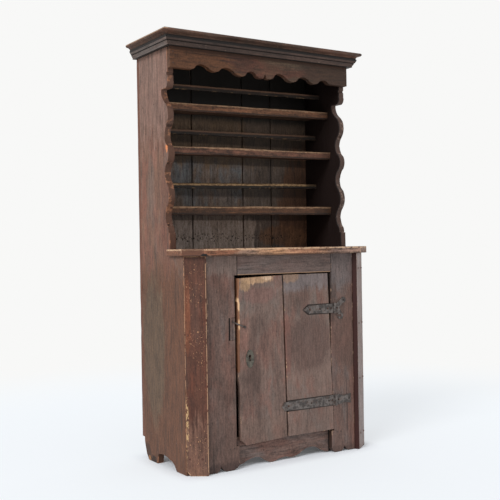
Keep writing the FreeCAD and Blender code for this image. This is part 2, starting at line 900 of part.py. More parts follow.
pieces["upper_hinge_leaf"] = hinge_leaf(upper_hinge_z, upper_knuckle_length, upper_plate)

# lower leaf: a waisted plate with a flared end
lower_reach = lower_knuckle_length / 2 + moving_gap + outer_knuckle_length
lower_plate = elevation(
    (leaf_x, lower_hinge_z - lower_reach),
    straight([
        (leaf_x + lower_leaf_length * 0.15, lower_hinge_z - lower_reach),
        (leaf_x + lower_leaf_length / 2, lower_hinge_z - lower_leaf_waist),
        (leaf_x + lower_leaf_length, lower_hinge_z - lower_leaf_end),
        (leaf_x + lower_leaf_length, lower_hinge_z + lower_leaf_end),
        (leaf_x + lower_leaf_length / 2, lower_hinge_z + lower_leaf_waist),
        (leaf_x + lower_leaf_length * 0.15, lower_hinge_z + lower_reach),
        (leaf_x, lower_hinge_z + lower_reach),
    ]),
    leaf_front, stile_face)
pieces["lower_hinge_leaf"] = hinge_leaf(lower_hinge_z, lower_knuckle_length, lower_plate)

pieces["upper_hinge_strap"] = hinge_strap(upper_hinge_z, upper_strap_length, strap_height,
                                          upper_knuckle_length, upper_spear_length)
pieces["lower_hinge_strap"] = hinge_strap(lower_hinge_z, lower_strap_length, lower_strap_height,
                                          lower_knuckle_length, lower_spear_length)
pieces["upper_hinge_pin"] = hinge_pin(upper_hinge_z, upper_knuckle_length)
pieces["lower_hinge_pin"] = hinge_pin(lower_hinge_z, lower_knuckle_length)

# ---------------------------------------------------------------- lock

keyhole = rod(keyhole_radius, Vector(keyhole_x, door_face - 10, keyhole_z), BACK, door_thickness + 20)
keyhole = keyhole.fuse(block(keyhole_x - keyhole_slot_width / 2, keyhole_x + keyhole_slot_width / 2,
                             door_face - 10, door_back + 10,
                             keyhole_z - keyhole_slot_drop, keyhole_z))
pieces["left_door_board"] = pieces["left_door_board"].cut(keyhole)

plate_centre_z = keyhole_z - keyhole_slot_drop / 2
oval = Part.Ellipse(Vector(keyhole_x, door_face, plate_centre_z + escutcheon_height / 2),
                    Vector(keyhole_x - escutcheon_width / 2, door_face, plate_centre_z),
                    Vector(keyhole_x, door_face, plate_centre_z))
oval_plate = Part.Face(Part.Wire([oval.toShape()])).extrude(FORWARD * escutcheon_thickness)
pieces["escutcheon"] = oval_plate.cut(keyhole)

bolt_z = keyhole_z - keyhole_slot_drop / 2
bolt_front = door_back + lock_wall
bolt_channel = block(door_left, door_left + bolt_length + 2, bolt_front - bolt_gap,
                     bolt_front + bolt_thickness + bolt_gap,
                     bolt_z - bolt_height / 2 - bolt_gap, bolt_z + bolt_height / 2 + bolt_gap)
lock_case = block(door_left, door_left + lock_width, door_back, door_back + lock_depth,
                  bolt_z - lock_height / 2, bolt_z + lock_height / 2)
case_keyhole = keyhole.common(block(keyhole_x - 20, keyhole_x + 20, door_back, bolt_front,
                                    keyhole_z - 30, keyhole_z + 30))
pieces["lock_case"] = lock_case.cut(bolt_channel).cut(case_keyhole)
pieces["lock_bolt"] = block(door_left + bolt_gap, door_left + bolt_length,
                            bolt_front, bolt_front + bolt_thickness,
                            bolt_z - bolt_height / 2, bolt_z + bolt_height / 2)

# ---------------------------------------------------------------- latch hook and its block

block_left = left_relief - block_width
block_top = door_top - block_top_drop
block_seat = block(block_left - block_gap, left_relief, stile_face, stile_face + block_depth,
                   block_top - block_height, block_top)
pieces["left_stile"] = pieces["left_stile"].cut(block_seat)
pieces["keeper_block"] = block(block_left, left_relief, stile_face, stile_face + block_depth,
                               block_top - block_height, block_top)

hook_back = door_face - moving_gap
hook_front = hook_back - hook_thickness
hook_bar = block(-hook_length, 0, hook_front, hook_back, -hook_width / 2, hook_width / 2)
hook_tip = end_view((hook_front, -hook_width / 2),
                    straight([(hook_front - 5, -hook_width / 2), (hook_front - 5, hook_width / 2),
                              (hook_front, hook_width / 2)]),
                    -hook_length, -hook_length + 4)
hook_eye = rod(hook_eye_radius, Vector(0, hook_front, 0), BACK, hook_thickness)
hook = hook_bar.fuse(hook_tip).fuse(hook_eye)
hook = hook.cut(rod(hook_nail_radius + running_clearance, Vector(0, hook_front, 0), BACK, hook_thickness))
hook.rotate(Vector(0, 0, 0), BACK, hook_angle)
hook.translate(Vector(hook_x, 0, hook_z))
pieces["latch_hook"] = hook.removeSplitter()

hook_nail_front = hook_front - moving_gap
hook_nail = rod(hook_head_radius, Vector(hook_x, hook_nail_front - hook_head_height, hook_z), BACK,
                hook_head_height)
hook_nail = hook_nail.fuse(rod(hook_nail_radius, Vector(hook_x, hook_nail_front, hook_z), BACK,
                               door_face - hook_nail_front + tack_length))
pieces["latch_nail"] = hook_nail
pieces["left_door_board"] = pieces["left_door_board"].cut(hook_nail)

# ---------------------------------------------------------------- nails

shelf_levels = (
    ("lower_shelf", lower_shelf_top - shelf_web / 2, shelf_depth, lower_shelf_tilt),
    ("middle_shelf", middle_shelf_top - shelf_web / 2, shelf_depth, middle_shelf_tilt),
    ("upper_shelf", upper_shelf_top - shelf_web / 2, upper_shelf_depth, upper_shelf_tilt),
    ("counter_board", counter_bottom + counter_thickness / 2, shelf_depth, 0.0),
    ("cupboard_floor", floor_bottom + floor_thickness / 2, carcass_depth - floor_front, 0.0),
)


def level_at(x, level, tilt):
    return level + tilt * (x + housed_half) / (2 * housed_half)



side_nails = []
for name, level, depth, tilt in shelf_levels:
    for share in (0.2, 0.8):
        y = carcass_depth - depth * share
        side_nails.append(nail(-half_width, y, level_at(-inner_half, level, tilt), RIGHT, nail_length))
        side_nails.append(nail(half_width, y, level_at(inner_half, level, tilt), LEFT, nail_length))
fasten("side_nails", side_nails, "left_side_board", "right_side_board", *[row[0] for row in shelf_levels])

back_nails = []
for index in range(4):
    for x in (back_edges[index] + nail_edge, back_edges[index + 1] - nail_edge):
        for name, level, depth, tilt in shelf_levels:
            back_nails.append(nail(x, rear, level_at(x, level, tilt), FORWARD, nail_length))
fasten("back_nails", back_nails, *back_names, *[row[0] for row in shelf_levels])

valance_nails = []
for x in (-half_width + side_thickness / 2, half_width - side_thickness / 2):
    for z in (valance_bottom + valance_nail_end, bed_bottom - valance_nail_end):
        valance_nails.append(nail(x, valance_front, z, BACK, nail_length))
fasten("valance_nails", valance_nails, "valance", "left_side_board", "right_side_board")

post_nails = []
face_point = Vector(-half_width + post_cant_width, 0, 0)
near = face_point - post_along * post_nail_inner
far = face_point - post_along * (post_width - post_nail_outer)
near_length = (stile_back - near.y) / post_inward.y - nail_head_height
post_nail_step = (counter_bottom - 2 * post_nail_end) / (post_nail_count - 1)
for index in range(post_nail_count):
    z = post_nail_end + index * post_nail_step
    for point, direction, length in ((near, post_inward, near_length), (far, BACK, nail_length)):
        driven = nail(point.x, point.y, z, direction, length, proud=True)
        post_nails += [driven, mirrored(driven)]
fasten("post_nails", post_nails, "left_corner_post", "right_corner_post", "left_stile", "right_stile",
       "left_side_board", "right_side_board")

apron_nails = []
for x in (opening_left - apron_lap * 0.4, opening_left - apron_lap * 0.75,
          opening_right + apron_lap * 0.35, opening_right + apron_lap * 0.7):
    apron_nails.append(nail(x, stile_face, 0.7 * apron_height, BACK, stile_thickness + nail_hold))
for x in (-bearer_length * 0.2, bearer_length * 0.25):
    apron_nails.append(nail(x, stile_back, floor_bottom - bearer_height * 0.75, BACK,
                            apron_thickness + nail_hold))
fasten("apron_nails", apron_nails, "left_stile", "right_stile", "scalloped_apron", "floor_bearer")

counter_nails = [nail(x, stile_face + stile_thickness / 2, counter_height, DOWN, nail_length)
                 for x in (post_inner_x + nail_edge, opening_left - nail_edge, 0.0,
                           opening_right + nail_edge, -post_inner_x - nail_edge)]
fasten("counter_nails", counter_nails, "counter_board", "left_stile", "right_stile", "top_rail")

cap_nails = []
cap_nail_length = cap_thickness + 2 * nail_hold
for x in (-half_width + side_thickness / 2, half_width - side_thickness / 2):
    for y in (rack_setback + nail_edge, carcass_depth - nail_edge):
        cap_nails.append(nail(x, y, cap_top, DOWN, cap_nail_length))
for x in (-half_width * 0.4, half_width * 0.4):
    cap_nails.append(nail(x, valance_front + valance_thickness / 2, cap_top, DOWN, cap_nail_length))
fasten("cap_nails", cap_nails, "cornice_cap", "left_side_board", "right_side_board", "valance")

brad_out = (bed_middle_out + quirk_depth / 2 + bed_top_projection) / 2
brad_z = (bed_middle + quirk_depth / 2 + cap_bottom - bed_fillet) / 2
bed_nails = [rod(brad_radius, Vector(half_width * share, valance_front - brad_out, brad_z), BACK,
                 brad_out + nail_hold) for share in (-0.8, -0.3, 0.3, 0.8)]
for y in (rack_setback + nail_edge / 2, carcass_depth - 2 * nail_edge):
    driven = rod(brad_radius, Vector(-half_width - brad_out, y, brad_z), RIGHT, brad_out + nail_hold)
    bed_nails += [driven, mirrored(driven)]
fasten("bed_moulding_nails", bed_nails, "front_bed_moulding", "left_bed_moulding", "right_bed_moulding",
       "valance", "left_side_board", "right_side_board")

cleat_nails = []
for z in (inner_shelf_bottom - cleat_height / 2, counter_bottom - cleat_height / 2):
    for y in (inner_shelf_setback + cleat_end_gap + nail_edge, carcass_depth - cleat_end_gap - nail_edge):
        driven = nail(-inner_half + cleat_thickness, y, z, LEFT, cleat_thickness + nail_hold)
        cleat_nails += [driven, mirrored(driven)]
fasten("cleat_nails", cleat_nails, "shelf_cleats", "counter_cleats", "left_side_board", "right_side_board")

batten_nails = []
for z in (upper_hinge_z, lower_hinge_z):
    for x, share in ((door_left + batten_end_gap + nail_edge, 0.3), (board_joint_top - nail_edge, -0.3),
                     (board_joint_bottom + nail_edge, 0.38)):
        batten_nails.append(nail(x, door_face, z + share * batten_height, BACK, door_thickness + nail_hold))
fasten("batten_nails", batten_nails, "left_door_board", "right_door_board", "upper_door_batten",
       "lower_door_batten")

strap_nails = []
strap_root = pin_x - knuckle_radius - moving_gap
for z, length in ((upper_hinge_z, upper_strap_length), (lower_hinge_z, lower_strap_length)):
    strap_nails.append(nail(strap_root - strap_rivet, strap_front, z, BACK, iron_thickness, proud=True))
    for along in (strap_nail_root, length * 0.45, length - strap_nail_tip):
        strap_nails.append(nail(strap_root - along, strap_front, z, BACK,
                                iron_thickness + tack_length, proud=True))
fasten("strap_nails", strap_nails, "upper_hinge_strap", "lower_hinge_strap", "left_door_board",
       "right_door_board")

leaf_nails = [nail(x, leaf_front, z, BACK, iron_thickness + tack_length, proud=True)
              for x, z in ((leaf_x + leaf_nail_root, upper_hinge_z), (horn_x, horn_z),
                           (leaf_x + leaf_nail_root, lower_hinge_z),
                           (leaf_x + lower_leaf_length - leaf_nail_root, lower_hinge_z))]
fasten("leaf_nails", leaf_nails, "upper_hinge_leaf", "lower_hinge_leaf", "right_stile")

pin_reach = escutcheon_height / 2 - escutcheon_pin_edge
escutcheon_pins = [rod(escutcheon_pin_radius, Vector(keyhole_x, door_face - escutcheon_thickness, z), BACK,
                       escutcheon_thickness + door_thickness / 2)
                   for z in (plate_centre_z + pin_reach, plate_centre_z - pin_reach)]
fasten("escutcheon_pins", escutcheon_pins, "escutcheon", "left_door_board")

lock_reach = lock_height / 2 - lock_nail_edge
lock_nails = [nail(x, door_back + lock_depth, z, FORWARD, lock_depth + door_thickness / 2)
              for x in (door_left + lock_width - lock_nail_edge, door_left + lock_nail_edge)
              for z in (bolt_z - lock_reach, bolt_z + lock_reach)]
fasten("lock_nails", lock_nails, "lock_case", "left_door_board")

block_nail_length = (block_depth + stile_thickness) / 2
block_nails = [nail(block_left + block_width / 2, stile_face, z, BACK, block_nail_length)
               for z in (block_top - block_nail_edge, block_top - block_height + block_nail_edge)]
fasten("block_nails", block_nails, "keeper_block", "left_stile")

# ---------------------------------------------------------------- write one file per piece

os.makedirs("parts", exist_ok=True)
for name, shape in pieces.items():
    finished = shape.copy()
    finished.translate(Vector(0, front, 0))
    if len(finished.Solids) == 1:
        finished = finished.Solids[0]
    finished.exportStep(os.path.join("parts", name + ".step"))
    print(name, len(finished.Solids), finished.isValid(), round(finished.Volume))
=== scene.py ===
# %% [markdown]
# # A step back cupboard
#
# An old country cupboard: an open plate rack with scalloped sides stands back on a lower
# cupboard with canted corner posts and one plank door. The boards could be built here from
# boxes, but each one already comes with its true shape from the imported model. So this lesson
# starts from those solids and gives them worn edges, old paint and wrought iron.

# %% Load the frame
import json
import math
import random
import bmesh
import bpy
import numpy as np
from mathutils import Matrix, Vector, kdtree, noise


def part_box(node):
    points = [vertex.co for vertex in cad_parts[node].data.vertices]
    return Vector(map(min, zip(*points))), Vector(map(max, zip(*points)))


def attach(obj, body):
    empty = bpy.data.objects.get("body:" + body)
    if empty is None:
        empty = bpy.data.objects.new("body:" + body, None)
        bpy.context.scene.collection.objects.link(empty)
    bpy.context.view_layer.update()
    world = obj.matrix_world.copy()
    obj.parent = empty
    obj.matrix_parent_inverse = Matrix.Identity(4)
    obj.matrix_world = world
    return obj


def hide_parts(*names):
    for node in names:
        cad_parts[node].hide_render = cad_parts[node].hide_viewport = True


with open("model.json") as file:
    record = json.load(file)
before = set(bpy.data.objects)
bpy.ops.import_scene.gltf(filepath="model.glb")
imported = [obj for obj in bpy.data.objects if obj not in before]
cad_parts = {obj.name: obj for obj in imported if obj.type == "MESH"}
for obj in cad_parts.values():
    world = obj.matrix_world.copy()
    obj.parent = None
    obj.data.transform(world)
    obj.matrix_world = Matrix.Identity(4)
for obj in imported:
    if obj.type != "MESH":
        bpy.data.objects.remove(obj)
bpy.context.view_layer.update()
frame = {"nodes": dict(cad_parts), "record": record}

nodes = frame["nodes"]
bodies = {member: body for body, members in frame["record"]["behaviour"]["bodies"].items()
          for member in members}

# %% [markdown]
# ## Where each nail was driven
#
# Hand-cut nails hold the whole cupboard. Their places could be typed in again, but each nail
# is a small closed solid, so it is measured, and its head follows the model. First a mesh is
# split into its loose parts.

# %% Split a mesh into loose parts
WELD = 2e-5  # corners closer than this are one corner
NAIL_GROUPS = [name for name in nodes if name.endswith(("_nails", "_pins"))]


def merged(node):
    """A copy of the node's mesh with its doubled corners joined."""
    shape = bmesh.new()
    shape.from_mesh(nodes[node].data)
    bmesh.ops.remove_doubles(shape, verts=shape.verts, dist=WELD)
    shape.verts.index_update()
    return shape


def loose_parts(shape):
    """The corners of one loose part after the other."""
    waiting = set(shape.verts)
    while waiting:
        part, front = [], [min(waiting, key=lambda v: v.index)]
        waiting.discard(front[0])
        while front:
            corner = front.pop()
            part.append(corner)
            for edge in corner.link_edges:
                other = edge.other_vert(corner)
                if other in waiting:
                    waiting.discard(other)
                    front.append(other)
        yield part


print("nail groups", len(NAIL_GROUPS))

# %% [markdown]
# ## The axis of a nail
#
# The direction of a nail could be guessed from the longest side of its box, but a driven
# nail may lean. The sum of area times normal times normal works at any angle: one of its
# three values differs from the others, and its direction is the axis. The wider end is the
# head.

# %% Measure the nails
END_SLICE = 2e-4  # corners this close to the last one belong to a nail's end


def nail_axis(part):
    faces = {face for corner in part for face in corner.link_faces}
    spread = np.zeros((3, 3))
    for face in faces:
        normal = np.array(face.normal)
        spread += face.calc_area() * np.outer(normal, normal)
    values, directions = np.linalg.eigh(spread)
    odd = 2 if values[2] - values[1] > values[1] - values[0] else 0
    return Vector(directions[:, odd])


def measure_nail(part):
    """The head's centre, the direction to the point, the length and the head's radius."""
    axis = nail_axis(part)
    middle = sum((corner.co for corner in part), Vector()) / len(part)
    levels = [(corner.co - middle).dot(axis) for corner in part]
    ends = []
    for level in (min(levels), max(levels)):
        ring = [c.co for c in part if abs((c.co - middle).dot(axis) - level) < END_SLICE]
        centre = sum(ring, Vector()) / len(ring)
        ends.append((max((point - centre).length for point in ring), centre))
    (radius, head), (_, point) = sorted(ends, key=lambda end: -end[0])
    return head, (point - head).normalized(), (point - head).length, radius


driven = {}
for group in NAIL_GROUPS:
    shape = merged(group)
    driven[group] = [measure_nail(part) for part in loose_parts(shape)]
    shape.free()
print("nails", sum(len(rows) for rows in driven.values()), "in", len(driven), "groups")

# %% [markdown]
# ## Whole faces under the nails
#
# A nail fills its hole, so an old board shows no open ring round it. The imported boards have
# these holes, and a bevel would break on them. A face over each hole would leave a small disc
# in the paint, so each ring is drawn together into one point and the flat faces are joined.

# %% Close the nail holes
ABOVE_HEAD, BELOW_POINT = 0.004, 0.002  # how far a hole may pass its nail's ends
HOLE_SLACK = 6e-4  # a hole's wall lies at most this far outside the nail
RING_GAP = 0.0065  # two rings of a hole lie at least this far apart
FLAT = math.radians(0.6)


def corners_round(shape, nail):
    """The corners on the wall of this nail's hole, with their way along the nail."""
    head, direction, length, radius = nail
    near = []
    for corner in shape.verts:
        along = (corner.co - head).dot(direction)
        if -ABOVE_HEAD < along < length + BELOW_POINT:
            out = (corner.co - head - direction * along).length
            if out < radius + HOLE_SLACK:
                near.append((along, corner))
    return sorted(near, key=lambda row: row[0])


def split_in_rings(near):
    rings = []
    for along, corner in near:
        if rings and along - rings[-1][-1][0] < RING_GAP:
            rings[-1].append((along, corner))
        else:
            rings.append([(along, corner)])
    return [[corner for _, corner in ring] for ring in rings]


def close_holes(shape):
    for nail in (row for rows in driven.values() for row in rows):
        head, direction = nail[:2]
        near = corners_round(shape, nail)
        inside = {corner for _, corner in near}
        for ring in split_in_rings(near):
            rim = [c for c in ring if any(e.other_vert(c) not in inside for e in c.link_edges)]
            rim = rim or ring
            middle = sum((c.co for c in rim), Vector()) / len(rim)
            level = (middle - head).dot(direction)
            bmesh.ops.pointmerge(shape, verts=ring, merge_co=head + direction * level)
    wires = [edge for edge in shape.edges if not edge.link_faces]
    bmesh.ops.delete(shape, geom=wires, context="EDGES")
    lone = [corner for corner in shape.verts if not corner.link_faces]
    bmesh.ops.delete(shape, geom=lone, context="VERTS")
    bmesh.ops.dissolve_degenerate(shape, edges=shape.edges, dist=1e-6)
    bmesh.ops.dissolve_limit(shape, angle_limit=FLAT, verts=shape.verts, edges=shape.edges)


shape = merged("counter_board")
before = len(shape.faces)
close_holes(shape)
print("faces of the counter", before, "then", len(shape.faces))

# %% [markdown]
# ## The edges that hands and plates rub
#
# Only the outer edges of a board wear: those where two wide faces meet at a sharp outward
# angle. One long edge would be rubbed the same from end to end, so each is split every few
# centimetres at uneven places.

# %% Find and split the outer edges
SHARP = math.radians(32)
THIN_FACE = 0.006  # a face narrower than this doesn't take a rounded edge
SPLIT_STEP = 0.035


def outer_edges(shape):
    found = []
    for edge in shape.edges:
        if len(edge.link_faces) != 2 or edge.calc_face_angle_signed() < SHARP:
            continue
        widths = [2 * face.calc_area() / face.calc_perimeter() for face in edge.link_faces]
        if min(widths) > THIN_FACE:
            found.append(edge)
    return found


def split_long(shape, edges, dice):
    pieces = sorted(edges, key=lambda e: e.index)
    for edge in list(pieces):
        start = edge.verts[0]
        for left in range(int(edge.calc_length() / SPLIT_STEP), 0, -1):
            share = (1 + dice.uniform(-0.3, 0.3)) / (left + 1)
            new_edge, start = bmesh.utils.edge_split(edge, start, share)
            pieces.append(new_edge)
    return pieces


print("outer edges of the counter", len(outer_edges(shape)))

# %% [markdown]
# ## A strip along each edge
#
# Wear bites a few millimetres into a face. On a face with no points but its corners, moving
# one corner would tilt all of it. An inset adds a strip inside the outline, and only that
# moves. A subdivided face would do the same with many more points.

# %% Find the flat regions and inset them
SAME_PLANE = 0.9999
WIDE_FACE, STRIP, STRIP_SHARE = 0.008, 0.007, 0.22


def flat_regions(shape):
    """Neighbouring faces in one plane, with the width of a strip of the same area."""
    waiting = set(shape.faces)
    while waiting:
        start = min(waiting, key=lambda face: face.index)
        waiting.discard(start)
        region, front, outline = [], [start], 0.0
        while front:
            face = front.pop()
            region.append(face)
            for edge in face.edges:
                others = [other for other in edge.link_faces if other is not face]
                if others and others[0].normal.dot(start.normal) > SAME_PLANE:
                    if others[0] in waiting:
                        waiting.discard(others[0])
                        front.append(others[0])
                else:
                    outline += edge.calc_length()
        yield region, 2 * sum(face.calc_area() for face in region) / outline


def inset_flats(shape):
    shape.faces.index_update()
    for region, width in list(flat_regions(shape)):
        if width > WIDE_FACE:
            bmesh.ops.inset_region(
                shape, faces=region, thickness=min(STRIP, STRIP_SHARE * width),
                use_even_offset=True, use_boundary=True,
            )


shape.faces.index_update()
print("flat regions of the counter", len(list(flat_regions(shape))))
shape.free()

# %% [markdown]
# ## Values that the paint will read
#
# Old paint differs on a board's edges and faces, and from its lower to its upper arris, where
# some finishes also paint a highlight above and shade below. A picture could hold that, but a
# value on each face or corner follows the shape by itself and stays sharp at any distance.

# %% Mark the narrow faces and the rise
EDGE_SLOPE = 0.6  # a face turned this far from the board's thin side is an edge or an end
END_REACH = 0.02


def mark_narrow(shape):
    """A face value of 1 on a board's edges and ends."""
    spread = [max(c.co[i] for c in shape.verts) - min(c.co[i] for c in shape.verts)
              for i in range(3)]
    thin = spread.index(min(spread))
    narrow = shape.faces.layers.float.new("narrow")
    shape.normal_update()
    for face in shape.faces:
        face[narrow] = 1.0 if abs(face.normal[thin]) < EDGE_SLOPE else 0.0


def mark_rise(shape):
    """A corner value from 0 on a long board's lower edge to 1 on its upper edge."""
    rise = shape.verts.layers.float.new("rise")
    ends = [min(c.co.x for c in shape.verts), max(c.co.x for c in shape.verts)]
    spans = []
    for end in ends:
        levels = [c.co.z for c in shape.verts if abs(c.co.x - end) < END_REACH]
        spans.append((min(levels), max(levels)))
    for corner in shape.verts:
        share = (corner.co.x - ends[0]) / (ends[1] - ends[0])
        low = spans[0][0] + (spans[1][0] - spans[0][0]) * share
        high = spans[0][1] + (spans[1][1] - spans[0][1]) * share
        corner[rise] = (corner.co.z - low) / (high - low)


print("edge slope", EDGE_SLOPE)

# %% [markdown]
# ## From sawn edge to worn edge
#
# A plane leaves a sharp arris, and two centuries of hands round it unevenly. A bevel alone
# looks made by a machine, so noise then rubs the wood back near the old edge, with a nick
# now and then. The distance to that edge is kept, so that paint wears in the same places.

# %% Rub the edges
TRAIL_STEP = 0.004  # spacing of the points that remember the old edges
WEAR_REACH, RUB_REACH = 0.010, 0.006  # how far from them paint wears and wood moves
SWELL, DENT, NICK = 14, 70, 33  # waves to the metre of the three noises
NICK_DEPTH = 0.002


def edge_trail(edges):
    """Points along the sharp edges, to find how far a corner lies from them."""
    counts = [1 + int(edge.calc_length() / TRAIL_STEP) for edge in edges]
    trail = kdtree.KDTree(sum(counts) + len(counts))
    for edge, steps in zip(edges, counts):
        a, b = (corner.co for corner in edge.verts)
        for i in range(steps + 1):
            trail.insert(a.lerp(b, i / steps), 0)
    trail.balance()
    return trail


def rub_back(shape, trail, round_off, shift):
    wear = shape.verts.layers.float.new("wear")
    moves = []
    for corner in shape.verts:
        gap = trail.find(corner.co)[2]
        corner[wear] = max(0.0, 1 - gap / WEAR_REACH)
        if gap < RUB_REACH:
            slow = noise.noise(corner.co * SWELL + shift)
            quick = noise.noise(corner.co * DENT + shift)
            bite = max(0.0, 0.25 + 0.5 * slow + 0.4 * quick)
            nick = max(0.0, noise.noise(corner.co * NICK - shift) - 0.38) * 3
            depth = bite * round_off * 0.45 + nick * NICK_DEPTH
            moves.append((corner, corner.normal * -depth))
    for corner, move in moves:
        corner.co += move


print("worn within", WEAR_REACH, "m of an edge")

# %% Sway a long board
HOUSED_END, FREE_RUN, SLOW_WAVE = 0.43, 0.06, 4


def sway(shape, amount, shift):
    """A slow wave up and down a long board, with the ends in its housings kept still."""
    for corner in shape.verts:
        free = min(1.0, (HOUSED_END - abs(corner.co.x)) / FREE_RUN)
        wave = noise.noise(Vector((corner.co.x * SLOW_WAVE, 0, 0)) + shift)
        corner.co.z += wave * amount * max(0.0, free)


print("long boards sway inside x", HOUSED_END)

# %% [markdown]
# ## A board for a board
#
# Each worn board takes the place of one packed board and moves with the same body, so the
# door's boards swing with the door. The noise comes from the board's name, so every run
# gives the same chips.

# %% Make a worn board
def show(shape, name, finish, node):
    """Turn the shape into a piece that stands for the node."""
    mesh = bpy.data.meshes.new(name)
    shape.to_mesh(mesh)
    shape.free()
    piece = bpy.data.objects.new(name, mesh)
    bpy.context.scene.collection.objects.link(piece)
    mesh.materials.append(finish)
    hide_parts(node)
    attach(piece, bodies[node])
    return piece


def worn_board(node, finish, round_off=0.0022, wave=0.0):
    dice = random.Random(sum(map(ord, node)))
    shape = merged(node)
    close_holes(shape)
    shape.edges.index_update()
    edges = split_long(shape, outer_edges(shape), dice)
    trail = edge_trail(edges)
    inset_flats(shape)
    made = bmesh.ops.bevel(
        shape, geom=[edge for edge in edges if edge.is_valid], offset=round_off, segments=3,
        profile=0.5, affect="EDGES", material=-1, clamp_overlap=False, loop_slide=True,
    )
    for face in made["faces"]:
        face.smooth = True
    shape.normal_update()
    shift = Vector([dice.uniform(-50, 50) for _ in range(3)])
    rub_back(shape, trail, round_off, shift)
    if wave:
        sway(shape, wave, shift)
    mark_narrow(shape)
    mark_rise(shape)
    return show(shape, node + "_worn", finish, node)


# %% [markdown]
# ## Maths on sockets
#
# A finish is a graph of shader nodes. Linked by hand, it hides the idea behind lists of
# sockets. One small class wraps an output socket, so that a mask is written as a sum.

# %% Colours and the socket wrapper
def rgb(red, green, blue):
    """A colour in 0 to 255, as the linear values that a shader takes."""
    values = []
    for part in (red, green, blue):
        part /= 255
        values.append(part / 12.92 if part <= 0.04045 else ((part + 0.055) / 1.055) ** 2.4)
    return (*values, 1.0)


class Tone:
    def __init__(self, finish, socket):
        self.finish = finish
        self.socket = socket

    def sum_of(self, operation, a, b):
        return self.finish.node("ShaderNodeMath", {"operation": operation}, {0: a, 1: b})

    def __add__(self, other):
        return self.sum_of("ADD", self, other)

    def __radd__(self, other):
        return self.sum_of("ADD", other, self)

    def __sub__(self, other):
        return self.sum_of("SUBTRACT", self, other)

    def __rsub__(self, other):
        return self.sum_of("SUBTRACT", other, self)

    def __mul__(self, other):
        return self.sum_of("MULTIPLY", self, other)

    def __rmul__(self, other):
        return self.sum_of("MULTIPLY", other, self)

    def least(self, other):
        return self.sum_of("MINIMUM", self, other)

    def most(self, other):
        return self.sum_of("MAXIMUM", self, other)

    def between(self, low, high):
        """0 at low, 1 at high, with a soft start and end."""
        return self.finish.node(
            "ShaderNodeMapRange", {"interpolation_type": "SMOOTHSTEP"},
            {"Value": self, "From Min": low, "From Max": high},
        )


print("middle grey", [round(part, 3) for part in rgb(128, 128, 128)])

# %% The finish
class Finish:
    def __init__(self, name):
        self.material = bpy.data.materials.new(name)
        self.material.use_nodes = True
        self.tree = self.material.node_tree
        self.shader = self.tree.nodes["Principled BSDF"]
        self.place = self.node("ShaderNodeTexCoord", {}, {}, "Object")

    def feed(self, socket, value):
        if isinstance(value, Tone):
            self.tree.links.new(value.socket, socket)
        else:
            socket.default_value = value

    def node(self, kind, settings, values, output=0):
        made = self.tree.nodes.new(kind)
        for key, value in settings.items():
            setattr(made, key, value)
        for key, value in values.items():
            self.feed(made.inputs[key], value)
        return Tone(self, made.outputs[output])

    def mix(self, share, a, b, blend="MIX"):
        settings = {"data_type": "RGBA", "blend_type": blend}
        return self.node("ShaderNodeMix", settings, {0: share, 6: a, 7: b}, 2)

    def vector(self, operation, a, b):
        return self.node("ShaderNodeVectorMath", {"operation": operation}, {0: a, 1: b})

    def length(self, a):
        return self.node("ShaderNodeVectorMath", {"operation": "LENGTH"}, {0: a}, "Value")

    def grain(self, scale, detail=3.0, rough=0.55, shift=(0, 0, 0), twist=0.0):
        """Noise whose scale is given along X, Y and Z, in waves to the metre."""
        place = self.node(
            "ShaderNodeMapping", {}, {"Vector": self.place, "Scale": scale, "Location": shift}
        )
        values = {"Vector": place, "Scale": 1.0, "Detail": detail, "Roughness": rough,
                  "Distortion": twist}
        return self.node("ShaderNodeTexNoise", {}, values)

    def spot(self, centre, reach, soft=0.5):
        """1 inside an ellipsoid and 0 outside it."""
        share = self.vector("DIVIDE", self.vector("SUBTRACT", self.place, centre), reach)
        return 1 - self.length(share).between(1 - soft, 1)

    def axis(self, name):
        return self.node("ShaderNodeSeparateXYZ", {}, {0: self.place}, name)

    def attribute(self, name):
        return self.node("ShaderNodeAttribute", {"attribute_name": name}, {}, "Fac")

    def bump(self, height, depth):
        return self.node("ShaderNodeBump", {}, {"Height": height, "Distance": depth,
                                                "Strength": 1.0})


print("finish ready", Finish.__name__)

# %% [markdown]
# ## The grain of a board
#
# Wood changes slowly along the tree and quickly across it. A single noise looks like marble,
# so eight noises are stretched along the board and four are left round for specks and
# flecks. Each board shifts them all.

# %% The noises of one board
ALONG = {"X": (0.05, 1, 1), "Y": (1, 0.05, 1), "Z": (1, 1, 0.05)}
STRETCHED = {  # waves to the metre, slack along the grain, detail, roughness, far, twist
    "slow": (6, 8, 3, 0.55, False, 0.4), "blotch": (15, 8, 4, 0.6, False, 0.5),
    "other": (12, 7, 4, 0.6, True, 0.5), "streak": (95, 1.4, 5, 0.7, False, 0.2),
    "cloud": (22, 9, 6, 0.7, True, 0.0), "fine": (300, 1.2, 3, 0.6, False, 0.0),
    "thread": (150, 4, 3, 0.6, True, 0.0), "rift": (95, 0.35, 2, 0.5, True, 0.3),
}
ROUND = {  # waves to the metre, detail, roughness, far
    "speck": ((170, 170, 120), 3, 0.75, True), "chip": ((190, 190, 150), 2, 0.6, False),
    "spread": ((6, 6, 6), 2, 0.5, True), "torn": ((38, 38, 38), 4, 0.65, False),
}


def board_noises(f, grain, seed):
    shift = (seed * 7.31, seed * 3.77, seed * 5.13)
    away = tuple(part + 31.7 for part in shift)
    noises = {}
    for name, (size, slack, detail, rough, far, twist) in STRETCHED.items():
        scale = tuple(size * (part if part == 1 else part * slack) for part in ALONG[grain])
        noises[name] = f.grain(scale, detail, rough, away if far else shift, twist)
    for name, (scale, detail, rough, far) in ROUND.items():
        noises[name] = f.grain(scale, detail, rough, away if far else shift)
    return noises


print("noises to a board", len(STRETCHED) + len(ROUND))
